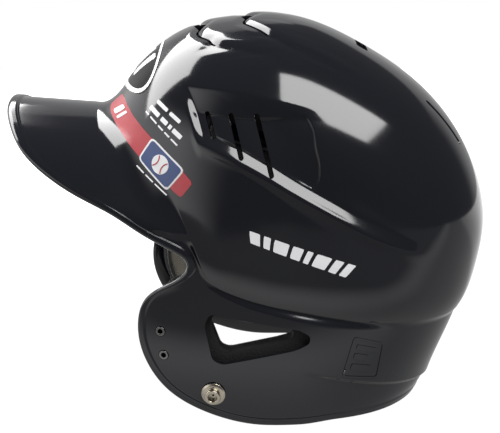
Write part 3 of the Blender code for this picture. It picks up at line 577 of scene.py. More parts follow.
def deeper(u, v, depth):
    """Point a given depth below the outer surface, measured without the scoops."""
    point, _ = base_surface(u, v)
    normal = base_normal(u, v)
    soft = relief(point, v, np.full(len(u), 1e3))[2]
    return point + normal * (soft - depth)[:, None]


def place(points):
    return (np.asarray(points, float) + FRAME_SHIFT) * MM


def add_object(name, data):
    obj = bpy.data.objects.new(name, data)
    bpy.context.scene.collection.objects.link(obj)
    return obj


def add_mesh(name, points, faces, mat, ride=True, smooth=True, sharp=None, weld=True):
    """Mesh object in the row frame from millimetre points, riding on the helmet."""
    mesh = bpy.data.meshes.new(name)
    mesh.from_pydata(place(points).tolist(), [], [tuple(int(i) for i in f) for f in faces])
    mesh.validate()
    bm = bmesh.new()
    bm.from_mesh(mesh)
    if weld:
        bmesh.ops.remove_doubles(bm, verts=bm.verts, dist=1e-6)
    bmesh.ops.recalc_face_normals(bm, faces=bm.faces)
    bm.to_mesh(mesh)
    bm.free()
    if mat is not None:
        mesh.materials.append(mat)
    mesh.shade_smooth() if smooth else mesh.shade_flat()
    if sharp:
        mesh.set_sharp_from_angle(angle=np.radians(sharp))
    obj = add_object(name, mesh)
    if ride:
        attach(obj, "root")
    return obj


def apply_modifiers(obj):
    graph = bpy.context.evaluated_depsgraph_get()
    made = bpy.data.meshes.new_from_object(obj.evaluated_get(graph))
    old = obj.data
    obj.modifiers.clear()
    obj.data = made
    made.name = old.name
    bpy.data.meshes.remove(old)
    return obj


def smooth_with_edges(obj, angle):
    obj.data.shade_smooth()
    obj.data.set_sharp_from_angle(angle=np.radians(angle))


def mesh_points(mesh):
    co = np.zeros(len(mesh.vertices) * 3)
    mesh.vertices.foreach_get("co", co)
    return co.reshape(-1, 3)


def ring_faces(first, second, closed=True):
    n = len(first)
    last = n if closed else n - 1
    return [(first[i], first[(i + 1) % n], second[(i + 1) % n], second[i]) for i in range(last)]


# ---------------------------------------------------------------- shell

def shell_levels(u, dome_rows, ledge_rows, below_rows, fillet_rows, panel_rows, edge_rows):
    """Levels of the shell's rows: they follow the ledge on the dome and crowd together at the lip."""
    ledge = ledge_level(u)
    first, last = LEDGE_ROWS[0], LEDGE_ROWS[-1]
    share = np.arange(1, dome_rows) / dome_rows
    levels = [(ledge + first) * (s - DOME_CROWDING * np.sin(2 * np.pi * s) / (2 * np.pi)) for s in share]
    levels += [ledge + first + (last - first) * k / ledge_rows for k in range(ledge_rows + 1)]
    start = ledge + last
    levels += [start + (1 - start) * k / below_rows for k in range(1, below_rows + 1)]
    levels += [np.full(len(u), 1 + k / fillet_rows) for k in range(1, fillet_rows + 1)]
    _, foot, edge, _ = skirt(u)
    length = np.linalg.norm(edge - foot, axis=1)
    lip = 2 + (1 - LIP_ZONE / length)
    levels += [2 + (lip - 2) * k / panel_rows for k in range(1, panel_rows + 1)]
    levels += [lip + (3 - lip) * k / edge_rows for k in range(1, edge_rows + 1)]
    return levels


def shell_rows(columns, counts):
    u = np.linspace(0, PERIOD, columns, endpoint=False)
    outer = []
    inner = []
    for v in shell_levels(u, *counts):
        top, bottom, _ = skin(u, v)
        outer.append(top)
        inner.append(bottom)
    return outer, inner


def make_shell(mat):
    """Fine shell with all its moulded detail, closed by a rolled rim."""
    outer, _ = shell_rows(OUTER_COLUMNS, OUTER_COUNTS)
    fine_inner = shell_rows(OUTER_COLUMNS, (2, 2, 2, 2, 2, 2))[1][-1]
    _, inner = shell_rows(INNER_COLUMNS, INNER_COUNTS)
    pole_top, pole_bottom, _ = skin(np.array([0.0]), np.array([0.0]))
    top = outer[-1]
    middle = (top + fine_inner) / 2
    half = (top - fine_inner) / 2
    along = np.roll(middle, -1, 0) - np.roll(middle, 1, 0)
    away = unit(np.cross(along, half))
    away *= np.sign(np.sum(away * (outer[-1] - outer[-2]), axis=1, keepdims=True))
    size = np.linalg.norm(half, axis=1, keepdims=True)
    rim = []
    for k in range(1, RIM_STEPS):
        turn = np.pi * k / RIM_STEPS
        rim.append(middle + half * np.cos(turn) + away * size * np.sin(turn))
    loops = outer + rim + [fine_inner]
    points = np.vstack([pole_top] + loops + inner[-2::-1] + [pole_bottom])
    rings = [list(range(1 + k * OUTER_COLUMNS, 1 + (k + 1) * OUTER_COLUMNS)) for k in range(len(loops))]
    base = 1 + len(loops) * OUTER_COLUMNS
    small = [list(range(base + k * INNER_COLUMNS, base + (k + 1) * INNER_COLUMNS))
             for k in range(len(inner) - 1)]
    faces = []
    for first, second in zip(rings, rings[1:]):
        faces += ring_faces(first, second)
    ratio = OUTER_COLUMNS // INNER_COLUMNS
    wide = rings[-1]
    for i in range(INNER_COLUMNS):
        j = (i + 1) % INNER_COLUMNS
        span = [wide[(i * ratio + k) % OUTER_COLUMNS] for k in range(ratio + 1)]
        faces.append(tuple(span + [small[0][j], small[0][i]]))
    for first, second in zip(small, small[1:]):
        faces += ring_faces(first, second)
    end = len(points) - 1
    for i in range(OUTER_COLUMNS):
        faces.append((0, rings[0][(i + 1) % OUTER_COLUMNS], rings[0][i]))
    for i in range(INNER_COLUMNS):
        faces.append((end, small[-1][i], small[-1][(i + 1) % INNER_COLUMNS]))
    return add_mesh("helmet_shell", points, faces, mat, ride=False)


def circle_about(axis, sides):
    """Unit circle of points round an axis that isn't upright."""
    across = unit(np.cross(axis, np.array([0.0, 0.0, 1.0])))
    third = np.cross(axis, across)
    turns = 2 * np.pi * np.arange(sides) / sides
    return np.cos(turns)[:, None] * across + np.sin(turns)[:, None] * third


def rod(origin, axis, r, low, high, sides=28):
    axis = unit(axis)
    circle = circle_about(axis, sides) * r
    return solid_between(origin + axis * low + circle, origin + axis * high + circle)


def solid_between(first_loop, second_loop):
    n = len(first_loop)
    points = np.vstack([first_loop, second_loop])
    first = list(range(n))
    second = list(range(n, 2 * n))
    return points, ring_faces(first, second) + [tuple(reversed(first)), tuple(second)]


def rounded_outline(corners, radius, steps=8):
    """Closed outline with its corners rounded."""
    corners = np.array(corners, float)
    n = len(corners)
    out = []
    for i in range(n):
        here = corners[i]
        before = corners[i - 1] - here
        after = corners[(i + 1) % n] - here
        take = min(radius, 0.45 * np.linalg.norm(before), 0.45 * np.linalg.norm(after))
        a = here + before / np.linalg.norm(before) * take
        b = here + after / np.linalg.norm(after) * take
        for k in range(steps + 1):
            t = k / steps
            out.append(a * (1 - t) ** 2 + here * 2 * t * (1 - t) + b * t ** 2)
    return np.array(out)


def slot_outline(start, stop, width, steps=8):
    start = np.array(start, float)
    stop = np.array(stop, float)
    way = (stop - start) / np.linalg.norm(stop - start)
    across = np.array([-way[1], way[0]])
    out = []
    for centre, turn in ((stop, -np.pi / 2), (start, np.pi / 2)):
        for k in range(steps + 1):
            a = turn + np.pi * k / steps
            out.append(centre + (way * np.cos(a) + across * np.sin(a)) * width / 2)
    return np.array(out)


def crown_vent_outline(line, half, front_mid, front_end):
    xs = np.linspace(-half, half, 61)
    rear = line(np.abs(xs)) - 0.6
    share = (np.abs(xs) / half) ** 1.2
    ends = line(np.array([half]))[0] - 1.9
    front = np.minimum(front_mid * (1 - share) + ends * share, rear - 1.6)
    return np.vstack([np.column_stack([xs, front]), np.column_stack([xs[::-1], rear[::-1]])])


def flat_prism(outline, axes, low, high):
    """Solid from a flat outline in two axes, pushed along the third."""
    third = 3 - sum(axes)
    loops = []
    for level in (low, high):
        loop = np.zeros((len(outline), 3))
        loop[:, axes[0]] = outline[:, 0]
        loop[:, axes[1]] = outline[:, 1]
        loop[:, third] = level
        loops.append(loop)
    return solid_between(*loops)


def side_point(y, z, mirror=False):
    """Outer point and normal of the flap at a fore-aft position and a height."""
    u, v = on_surface([y], [z], (1, 2), (9.5, 20.5), (2.0, 2.95))
    point, _, normal = skin(u, v)
    point = point[0]
    normal = normal[0]
    if mirror:
        point[0] *= -1
        normal[0] *= -1
    return point, normal


def shell_cutters():
    solids = []
    for sign in (1, -1):
        through = ((1, 2), sign * SIDE_CUT[0], sign * SIDE_CUT[1])
        solids.append(flat_prism(rounded_outline(EAR_HOLE, EAR_ROUND), *through))
        for start, stop in SIDE_SLOTS:
            solids.append(flat_prism(slot_outline(start, stop, SLOT_WIDTH), *through))
        low, high = REAR_SLOT_Z
        x = REAR_SLOT_X * sign
        solids.append(flat_prism(slot_outline((x, low), (x, high), REAR_SLOT_WIDTH), (0, 2), 90, 160))
        for y, z in NUTS:
            point, normal = side_point(y, z, sign < 0)
            solids.append(rod(point, normal, NUT_BORE, *BORE_CUT))
        point, normal = side_point(*SNAP, sign < 0)
        solids.append(rod(point, normal, SNAP_BORE, *BORE_CUT))
    for line, (half, middle, end) in zip(crown_lines, CROWN_VENTS):
        solids.append(flat_prism(crown_vent_outline(line, half, middle, end), (0, 1), 215, 260))
    half_x, half_y = REAR_VENT[0] / 2, REAR_VENT[1] / 2
    corners = ((-half_x, REAR_VENT_Y - half_y), (half_x, REAR_VENT_Y - half_y),
               (half_x, REAR_VENT_Y + half_y), (-half_x, REAR_VENT_Y + half_y))
    solids.append(flat_prism(rounded_outline(corners, 2.5), (0, 1), 200, 245))
    return solids


def join_solids(solids):
    points = []
    faces = []
    for more, more_faces in solids:
        start = len(points)
        points.extend(more)
        faces += [tuple(i + start for i in f) for f in more_faces]
    return np.array(points), faces


def cut(target, solids):
    points, faces = join_solids(solids)
    cutter = add_mesh("cutter", points, faces, None, ride=False, smooth=False)
    mod = target.modifiers.new("cut", "BOOLEAN")
    mod.operation = "DIFFERENCE"
    mod.solver = "MANIFOLD"
    mod.object = cutter
    apply_modifiers(target)
    bpy.data.objects.remove(cutter, do_unlink=True)
    return target


# ---------------------------------------------------------------- node graphs and procedural finishes

class Graph:
    """Node tree of a material or world. Values fed to a node's inputs are linked if sockets, else set."""

    def __init__(self, owner):
        owner.use_nodes = True
        self.nodes = owner.node_tree.nodes
        self.links = owner.node_tree.links

    def feed(self, node, values):
        for name, value in values.items():
            if isinstance(value, bpy.types.NodeSocket):
                self.links.new(value, node.inputs[name])
            else:
                node.inputs[name].default_value = value

    def add(self, kind, values, out=0, **settings):
        node = self.nodes.new("ShaderNode" + kind)
        for name, value in settings.items():
            setattr(node, name, value)
        self.feed(node, values)
        return node.outputs[out]

    def axes(self, coordinates):
        split = self.nodes.new("ShaderNodeSeparateXYZ")
        self.feed(split, {0: self.add("TexCoord", {}, coordinates)})
        return tuple(split.outputs)

    def math(self, operation, *values):
        return self.add("Math", dict(enumerate(values)), operation=operation)

    def product(self, first, *others):
        for other in others:
            first = self.math("MULTIPLY", first, other)
        return first

    def fade(self, value, low, high, start=0.0, end=1.0, kind="SMOOTHSTEP"):
        values = {"Value": value, "From Min": low, "From Max": high, "To Min": start, "To Max": end}
        return self.add("MapRange", values, interpolation_type=kind)

    def spread(self, value, low, high):
        return self.fade(value, 0.0, 1.0, low, high, "LINEAR")

    def bump(self, shader, height, distance):
        self.feed(shader, {"Normal": self.add("Bump", {"Height": height, "Distance": distance}, "Normal")})

    def knit(self, where, scale):
        """Height of a fine knit."""
        values = {"Vector": where, "Scale": scale, "Distortion": 0.6, "Detail": 1.0}
        return self.product(*[self.add("TexWave", values, "Fac", bands_direction=way) for way in "XYZ"])


def noisy_material(name, noise, rough, values, tones=None, knit_scale=None):
    """Material whose roughness and colour drift over a noise; a knitted one also follows its stitches."""
    mat = bpy.data.materials.new(name)
    graph = Graph(mat)
    shader = graph.nodes["Principled BSDF"]
    graph.feed(shader, values)
    where = graph.add("TexCoord", {}, "Object")
    scale, detail, noise_rough = noise
    grain = {"Vector": where, "Scale": scale, "Detail": detail, "Roughness": noise_rough}
    drift = graph.add("TexNoise", grain, "Fac")
    graph.feed(shader, {"Roughness": graph.spread(drift, *rough)})
    tone = drift
    if knit_scale:
        stitches = graph.knit(where, knit_scale)
        graph.bump(shader, stitches, STITCH_HEIGHT)
        tone = graph.math("MULTIPLY_ADD", stitches, 0.5, graph.spread(drift, 0.0, 0.6))
    if tones:
        dark, light = tones
        colours = {"Factor": tone, "A": (*dark, 1), "B": (*light, 1)}
        graph.feed(shader, {"Base Color": graph.add("Mix", colours, "Result", data_type="RGBA")})
    return mat, graph, shader, where


def shell_material():
    """Glossy moulded plastic with slightly uneven polish."""
    values = {"IOR": 1.5, "Base Color": (0.007, 0.0075, 0.010, 1)}
    return noisy_material("look_shell", (60, 2.0, 0.5), (0.07, 0.12), values)[0]


def film_material(name, dark, light, gloss=0.5):
    """Printed film with faint handling marks."""
    return noisy_material(name, (140, 3.0, 0.5), (0.14, 0.3), {"Specular IOR Level": gloss}, (dark, light))[0]


def foam_material():
    """Closed-cell foam: fine pores and a dusty skin."""
    tones = ((0.007, 0.007, 0.008), (0.017, 0.017, 0.017))
    mat, graph, shader, where = noisy_material("look_foam", (90, 3.0, 0.5), (0.75, 0.95),
                                               {"Specular IOR Level": 0.3}, tones)
    cells = graph.add("TexVoronoi", {"Vector": where, "Scale": 900}, "Distance")
    graph.bump(shader, cells, PORE_DEPTH)
    return mat


def fabric_material(name, dark, light, scale=210):
    """Brushed knit with soft sheen and slight soiling."""
    values = {"Specular IOR Level": 0.2, "Sheen Weight": 0.35, "Sheen Roughness": 0.5}
    return noisy_material(name, (55, 5.0, 0.6), (0.85, 1.0), values, (dark, light), scale)[0]


def metal_material(name, dark, light):
    """Satin plating, brighter where it is rubbed and duller in patches."""
    return noisy_material(name, (420, 3.0, 0.5), (0.18, 0.36), {"Metallic": 1.0}, (dark, light))[0]


# ---------------------------------------------------------------- lights, floor, camera

def softbox(name, azimuth, elevation, distance, wide, high, roll, shift, radiance):
    """Area light facing the helmet from a direction: azimuth from the bill, positive on the wearer's left."""
    a, e = np.radians((azimuth, elevation))
    out = np.array([np.sin(a) * np.cos(e), -np.cos(a) * np.cos(e), np.sin(e)])
    right = unit(np.array([np.cos(a), np.sin(a), 0.0]))
    up = np.cross(out, right)
    turn = np.radians(roll)
    wide_way = right * np.cos(turn) + up * np.sin(turn)
    high_way = np.cross(out, wide_way)
    centre = np.array(LIT_POINT) + out * distance + right * shift[0] + up * shift[1]
    data = bpy.data.lights.new(name, "AREA")
    data.shape = "RECTANGLE"
    data.size = wide
    data.size_y = high
    data.energy = radiance * wide * high * np.pi
    obj = add_object(name, data)
    rows = np.column_stack([wide_way, high_way, out, centre]).tolist()
    obj.matrix_world = Matrix(rows + [[0, 0, 0, 1]])
    obj.visible_camera = False


def make_world():
    """Pale surround: white to look at, darker in the gloss apart from a bright sweep beyond the helmet."""
    world = bpy.data.worlds.new("surround")
    bpy.context.scene.world = world
    graph = Graph(world)
    graph.nodes.clear()
    x, y, z = graph.axes("Generated")
    ceiling = graph.fade(y, -0.1, 0.2, 0.74, 0.36, "LINEAR")
    far = graph.fade(graph.math("MULTIPLY", x, -1.0), 0.5, 0.8)
    under = graph.fade(graph.math("SUBTRACT", z, ceiling), -0.03, 0.03, 1.0, 0.0)
    ahead = graph.fade(graph.math("MULTIPLY", y, -1.0), 0.3, 0.85)
    low = graph.fade(z, 0.36, 0.62, 1.0, 0.0)
    bright = graph.math("ADD", graph.product(far, under, SWEEP_GLOW), graph.product(ahead, low, FRONT_GLOW))
    glossy = graph.math("ADD", bright, DARK_GLOW)
    ambient, gloss, plain = (graph.add("Background", {"Color": (1, 1, 1, 1), "Strength": strength})
                             for strength in (AMBIENT_GLOW, glossy, 1.0))
    paths = graph.nodes.new("ShaderNodeLightPath").outputs
    lit = graph.add("MixShader", {0: paths["Is Glossy Ray"], 1: ambient, 2: gloss})
    seen = graph.add("MixShader", {0: paths["Is Camera Ray"], 1: lit, 2: plain})
    graph.feed(graph.nodes.new("ShaderNodeOutputWorld"), {"Surface": seen})


def floor_material():
    """White to look at; in the gloss it glows more beyond the helmet and less under, behind and before it:
    painted light beyond, a painted shadow of the helmet under it and painted shade behind and before it.
    """
    mat = bpy.data.materials.new("look_floor")
    graph = Graph(mat)
    x, y, _ = graph.axes("Object")
    # painted light: brighter glow far beyond the helmet
    beyond = graph.fade(x, 0.0, -0.6, 1.0, FAR_FLOOR_GLOW)
    # painted shade: dimmer glow before the helmet
    near = graph.fade(x, 0.16, 0.27, 1.0, FLOOR_GLOW)
    # painted shadow of the helmet: dimmer glow under it
    under = graph.fade(graph.math("ABSOLUTE", x), 0.09, 0.16, UNDER_FLOOR_SHADOW_GLOW, 1.0)
    # painted shade: dimmer glow behind the helmet
    behind = graph.fade(y, 0.0, 0.16, 1.0, REAR_FLOOR_GLOW)
    glow = graph.product(beyond, near, under, behind)
    seen = graph.add("LightPath", {}, "Is Camera Ray")
    graph.feed(graph.nodes["Principled BSDF"], {
        "Base Color": (0.04, 0.04, 0.04, 1), "Roughness": 0.9, "Specular IOR Level": 0.0,
        "Emission Color": (1, 1, 1, 1), "Emission Strength": graph.math("MAXIMUM", glow, seen)})
    return mat


def make_floor():
    """Round table, white to look at by its glow; the glow carries painted light and shade seen in
    reflections.
    """
    sides = 64
    turns = 2 * np.pi * np.arange(sides) / sides
    circle = np.column_stack([np.cos(turns), np.sin(turns), 0 * turns])
    points = np.vstack([[(0, 0, 0)]] + [circle * r for r in FLOOR_RINGS])
    rings = [range(1 + k * sides, 1 + (k + 1) * sides) for k in range(len(FLOOR_RINGS))]
    faces = [(0, rings[0][k], rings[0][(k + 1) % sides]) for k in range(sides)]
    for inner, outer in zip(rings, rings[1:]):
        faces += [tuple(reversed(face)) for face in ring_faces(inner, outer)]
    mesh = bpy.data.meshes.new("floor")
    mesh.from_pydata(points.tolist(), [], faces)
    mesh.materials.append(floor_material())
    add_object("floor", mesh)


def make_camera():
    data = bpy.data.cameras.new("photo_view")
    data.sensor_width = 36
    data.lens = CAMERA_LENS
    data.clip_start = 0.05
    data.clip_end = 60
    camera = add_object("photo_view", data)
    tilt = np.radians(CAMERA_ELEVATION)
    out = Vector((np.cos(tilt), 0, np.sin(tilt)))
    camera.location = Vector(CAMERA_TARGET) + out * CAMERA_DISTANCE
    camera.rotation_mode = "QUATERNION"
    camera.rotation_quaternion = (-out).to_track_quat("-Z", "Y")
    bpy.context.scene.camera = camera


def make_studio():
    bpy.context.scene.view_settings.view_transform = "Standard"
    make_camera()
    make_world()
    make_floor()
    softbox("rear_softbox", 180, 90, 1.0, 0.8, 1.1, 0, (-0.72, -0.72), 11)
    softbox("front_softbox", -40, 0, 1.0, 1.65, 1.4, -3, (0.03, 1.3), 11)


# ---------------------------------------------------------------- regions on the shell

def strip_region(u_mid, u_half, v_mid, v_half, mirror=False):
    """Patch placed by station and level on the shell."""
    def where(s, t, depth):
        u = u_mid + u_half * s
        if mirror:
            u = -u
        return deeper(u % PERIOD, v_mid + v_half * t, depth)
    return where


def crown_region(half_x, y_low, y_high):
    """Patch inside the crown, set out in plan."""
    def where(s, t, depth):
        aim = np.stack([half_x * s, (y_low + y_high) / 2 + (y_high - y_low) / 2 * t - DOME_CENTRE[1],
                        np.full(len(s), 124.0)], 1)
        point = dome(aim)
        near = 0.01
        side = dome(aim + np.array([near, 0, 0]) * 124) - point
        back = dome(aim + np.array([0, near, 0]) * 124) - point
        return point - unit(np.cross(side, back)) * np.asarray(depth)[:, None]
    return where


def badge_region(s, t, depth):
    """Oval lying across the forehead, set out in plan."""
    x = BADGE_HALF[0] * s
    y = BADGE_Y + BADGE_HALF[1] * t + BADGE_SWEEP * s * s
    u, v = on_surface(np.abs(x), y, (0, 1), (-0.5, 6.0), (0.5, 1.0))
    point, _, normal = skin(u, v)
    point[:, 0] *= np.where(x < 0, -1, 1)
    normal[:, 0] *= np.where(x < 0, -1, 1)
    return point - normal * np.asarray(depth)[:, None]


def label_region():
    """Strip running back along the left side of the brow, set out from the side."""
    upper = np.array(LABEL_UPPER)
    lower = np.array(LABEL_LOWER)

    def where(s, t, depth):
        along = (s + 1) / 2
        share = (t + 1) / 2
        y = paths[0](along) * share + paths[2](along) * (1 - share)
        z = paths[1](along) * share + paths[3](along) * (1 - share)
        return side_skin(y, z, depth, (0.5, 9.5), (0.6, 1.7))

    def column(rows, k):
        return path(np.column_stack([np.linspace(0, 1, len(rows)), rows[:, k]]))

    paths = (column(upper, 0), column(upper, 1), column(lower, 0), column(lower, 1))
    return where


def side_skin(y, z, depth, columns, levels, mirror=False):
    """Points over the helmet's side with a given y and z, a depth below the skin."""
    u, v = on_surface(y, z, (1, 2), columns, levels)
    point, _, normal = skin(u, v)
    point = point - normal * np.asarray(depth)[:, None]
    if mirror:
        point[:, 0] *= -1
    return point


def quad_region(corners, columns, levels, mirror=False):
    """Four-cornered patch on the side: s runs along the upper edge, t from the lower edge to the upper."""
    corners = np.array(corners, float)

    def where(s, t, depth):
        a = (s[:, None] + 1) / 2
        b = (t[:, None] + 1) / 2
        upper = corners[0] * (1 - a) + corners[1] * a
        lower = corners[3] * (1 - a) + corners[2] * a
        yz = upper * b + lower * (1 - b)
        return side_skin(yz[:, 0], yz[:, 1], depth, columns, levels, mirror)
    return where


def within(region, s_low, s_high, t_low, t_high, slant=0.0):
    """Part of a region, sheared along s by the slant."""
    def where(s, t, depth):
        inner_t = t_low + (t_high - t_low) * (t + 1) / 2
        inner_s = s_low + (s_high - s_low) * (s + 1) / 2 + slant * inner_t
        return region(inner_s, inner_t, depth)
    return where


def rounded_grid(s, t, power):
    """Grid squeezed to a rounded outline, as s and t from -1 to 1."""
    s, t = np.meshgrid(s, t, indexing="ij")
    big = np.maximum(np.abs(s), np.abs(t))
    norm = (np.abs(s) ** power + np.abs(t) ** power) ** (1 / power)
    k = np.where(norm > 0, big / np.maximum(norm, 1e-9), 1)
    return s * k, t * k


def sheet_faces(n, m):
    """Faces of two n by m layers and the wall between them."""
    count = n * m

    def at(i, j, layer):
        return i * m + j + layer * count

    faces = []
    for i in range(n - 1):
        for j in range(m - 1):
            faces.append((at(i, j, 0), at(i + 1, j, 0), at(i + 1, j + 1, 0), at(i, j + 1, 0)))
            faces.append((at(i, j, 1), at(i, j + 1, 1), at(i + 1, j + 1, 1), at(i + 1, j, 1)))
    border = [(i, 0) for i in range(n - 1)] + [(n - 1, j) for j in range(m - 1)]
    border += [(i, m - 1) for i in range(n - 1, 0, -1)] + [(0, j) for j in range(m - 1, 0, -1)]
    return faces + ring_faces([at(i, j, 0) for i, j in border], [at(i, j, 1) for i, j in border])


def layer_mesh(name, region, s, t, low, thick, steps, mat):
    """Closed sheet from a grid of a region's s and t, between two heights over the skin."""
    top = region(s, t, np.full(len(s), -low - thick))
    bottom = region(s, t, np.full(len(s), -low))
    obj = add_mesh(name, np.vstack([top, bottom]), sheet_faces(*steps), mat, sharp=50)
    return obj


def film(name, region, low, steps, power, mat, thick=DECAL_LAYER):
    """Thin printed film lying on the skin."""
    s, t = rounded_grid(np.linspace(-1, 1, steps[0]), np.linspace(-1, 1, steps[1]), power)
    return layer_mesh(name, region, s.ravel(), t.ravel(), low, thick, steps, mat)


def band_film(name, region, centre_line, half_width, low, mat, thick=DECAL_LAYER):
    """Thin film stroke of even width along a line given in the region's s and t."""
    line = np.array(centre_line, float)
    closed = np.allclose(line[0], line[-1])
    way = np.gradient(line, axis=0)
    if closed:
        way[0] = way[-1] = line[1] - line[-2]
    across = unit(np.column_stack([-way[:, 1], way[:, 0]]))
    width = np.asarray(half_width, float)
    sides = [line + across * width * share for share in (1, 0.33, -0.33, -1)]
    s, t = np.stack(sides, 1).reshape(-1, 2).T
    return layer_mesh(name, region, s, t, low, thick, (len(line), len(sides)), mat)


# ---------------------------------------------------------------- padding

def crowded(n, press):
    """Values from -1 to 1 that crowd together at both ends."""
    s = np.linspace(-1, 1, n)
    return np.sign(s) * (1 - (1 - np.abs(s)) ** press)


def half_lengths(region, depth):
    line = np.linspace(-1, 1, 17)
    still = np.zeros(17)
    at = np.full(17, depth)
    along = region(line, still, at)
    across = region(still, line, at)
    return [np.linalg.norm(np.diff(p, axis=0), axis=1).sum() / 2 for p in (along, across)]


def block(name, region, depth, thick, mat, rounding, step, press=1.25, power=5.0, shrink=0.0):
    """Closed form between two depths with rounded edges; along and across are stored on its points."""
    along, across = half_lengths(region, depth)
    n, m = (int(2 * size / step) + 8 for size in (along, across))
    raw_s, raw_t = crowded(n, press), crowded(m, press)
    big_s, big_t = np.meshgrid(raw_s, raw_t, indexing="ij")
    s, t = rounded_grid(raw_s, raw_t, power)
    edge = np.minimum((1 - np.abs(big_s)) * along, (1 - np.abs(big_t)) * across).ravel()
    q = np.clip(1 - edge / (rounding * 1.3), 0, 1)
    drawn = rounding * (1 - np.sqrt(1 - q * q * 0.999))
    s = (s * (1 - shrink / along)).ravel()
    t = (t * (1 - shrink / across)).ravel()
    top = region(s, t, depth + drawn)
    bottom = region(s, t, depth + thick - drawn)
    obj = add_mesh(name, np.vstack([top, bottom]), sheet_faces(n, m), mat, weld=False)
    kept = {"along": (s * along, s * along), "across": (t * across, t * across), "inward": (0 * s, 0 * s + 1)}
    for label, values in kept.items():
        layer = obj.data.attributes.new(label, "FLOAT", "POINT")
        layer.data.foreach_set("value", np.concatenate(values).astype(np.float32))
    return obj


def point_values(mesh, label):
    values = np.zeros(len(mesh.vertices), np.float32)
    mesh.attributes[label].data.foreach_get("value", values)
    return values


def puff(obj, cap, back_cap):
    """Blow the cover up with the cloth solver; points move no further than the caps."""
    start = mesh_points(obj.data)
    cloth = obj.modifiers.new("cover", "CLOTH")
    cloth.settings.quality = 5
    cloth.settings.use_pressure = True
    cloth.settings.uniform_pressure_force = PRESSURE
    cloth.settings.effector_weights.gravity = 0.0
    for frame_number in range(1, SIM_FRAMES + 1):
        bpy.context.scene.frame_set(frame_number)
    apply_modifiers(obj)
    bpy.context.scene.frame_set(1)
    moved = mesh_points(obj.data) - start
    inward = point_values(obj.data, "inward")
    limit = np.where(inward > 0.5, cap, back_cap) * MM
    length = np.linalg.norm(moved, axis=1)
    moved *= np.minimum(1, limit / np.maximum(length, 1e-9))[:, None]
    obj.data.vertices.foreach_set("co", (start + moved).ravel())
    obj.data.update()
    fine = obj.modifiers.new("fine", "SUBSURF")
    fine.levels = fine.render_levels = 1
    apply_modifiers(obj)
    obj.data.shade_smooth()


def sew(obj, lines, depth, width):
    """Press sewn channels into the cover: each line is a way, along or across, and its place in it."""
    mesh = obj.data
    along = point_values(mesh, "along")
    across = point_values(mesh, "across")
    inward = point_values(mesh, "inward")
    press = np.zeros(len(along))
    for kind, at in lines:
        off = (along if kind == "along" else across) - at
        press = np.maximum(press, np.exp(-(off / width) ** 2))
    normals = np.zeros(len(along) * 3)
    mesh.vertex_normals.foreach_get("vector", normals)
    shift = normals.reshape(-1, 3) * (press * depth * MM * (inward > 0.3))[:, None]
    mesh.vertices.foreach_set("co", (mesh_points(mesh) - shift).ravel())
    mesh.update()


def tube(name, line, radius, mat, sides=10, pitch=0.0):
    """Closed cord along a loop of points; the pitch gives a ribbed surface."""
    line = np.asarray(line, float)
    n = len(line)
    way = unit(np.roll(line, -1, 0) - np.roll(line, 1, 0))
    out = unit(line - line.mean(axis=0))
    across = unit(np.cross(way, out))
    out = np.cross(across, way)
    reach = np.concatenate([[0], np.cumsum(np.linalg.norm(np.diff(line, axis=0), axis=1))])
    size = radius * (1 + (0.08 * np.cos(2 * np.pi * reach / pitch) if pitch else 0 * reach))
    points = []
    for k in range(sides):
        turn = 2 * np.pi * k / sides
        points.append(line + (across * np.cos(turn) + out * np.sin(turn)) * size[:, None])
    points = np.stack(points, 1).reshape(-1, 3)
    faces = []
    for i in range(n):
        j = (i + 1) % n
        for k in range(sides):
            m = (k + 1) % sides
            faces.append((i * sides + k, j * sides + k, j * sides + m, i * sides + m))
    return add_mesh(name, points, faces, mat)


def outline_loop(region, depth, shrink, power=5.0, count=220):
    """Loop of points just inside the border of a region."""
    along, across = half_lengths(region, depth)
    turn = np.linspace(0, 2 * np.pi, count, endpoint=False)
    c, s = np.cos(turn), np.sin(turn)
    k = 1 / (np.abs(c) ** power + np.abs(s) ** power) ** (1 / power)
    return region(c * k * (1 - shrink / along), s * k * (1 - shrink / across), np.full(count, depth))


def mirrored(obj, name):
    """The same piece on the wearer's right."""
    mesh = obj.data.copy()
    points = mesh_points(mesh)
    points[:, 0] *= -1
    mesh.vertices.foreach_set("co", points.ravel())
    mesh.flip_normals()
    mesh.name = name
    twin = add_object(name, mesh)
    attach(twin, "root")
    return twin


def make_pad(node, region, depth, thick, lines, looks, pair=False):
    """Foam-filled knit pad with piping round its edge; a left one is mirrored if it is one of a pair."""
    fabric, piping_mat = looks
    pad = block(node + "_cover", region, depth + PAD_INSET, thick - 2 * PAD_INSET, fabric,
                thick / 2 - PAD_INSET - CLOTH_EDGE, PAD_GRID, shrink=PAD_SHRINK)
    puff(pad, PAD_CAP, PAD_BACK_CAP)
    sew(pad, lines, CHANNEL_DEPTH, CHANNEL_WIDTH)
    border = outline_loop(region, depth + thick / 2, PAD_SHRINK)
    piping = tube(node + "_piping", border, PIPING_RADIUS, piping_mat, pitch=PIPING_PITCH)
    made = [(pad, piping, node)]
    if pair:
        other = node.replace("left_", "right_")
        made.append((mirrored(pad, other + "_cover"), mirrored(piping, other + "_piping"), other))
    for cover, cord, name in made:
        for piece in (cover, cord):
            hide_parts(name)
    return made


def make_foam(node, region, depth, thick, mat, pair=False):
    foam = block(node + "_block", region, depth, thick, mat, 2.2, 3.0)
    made = [(foam, node)]
    if pair:
        other = node.replace("left_", "right_")
        made.append((mirrored(foam, other + "_block"), other))
    for piece, name in made:
        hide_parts(name)


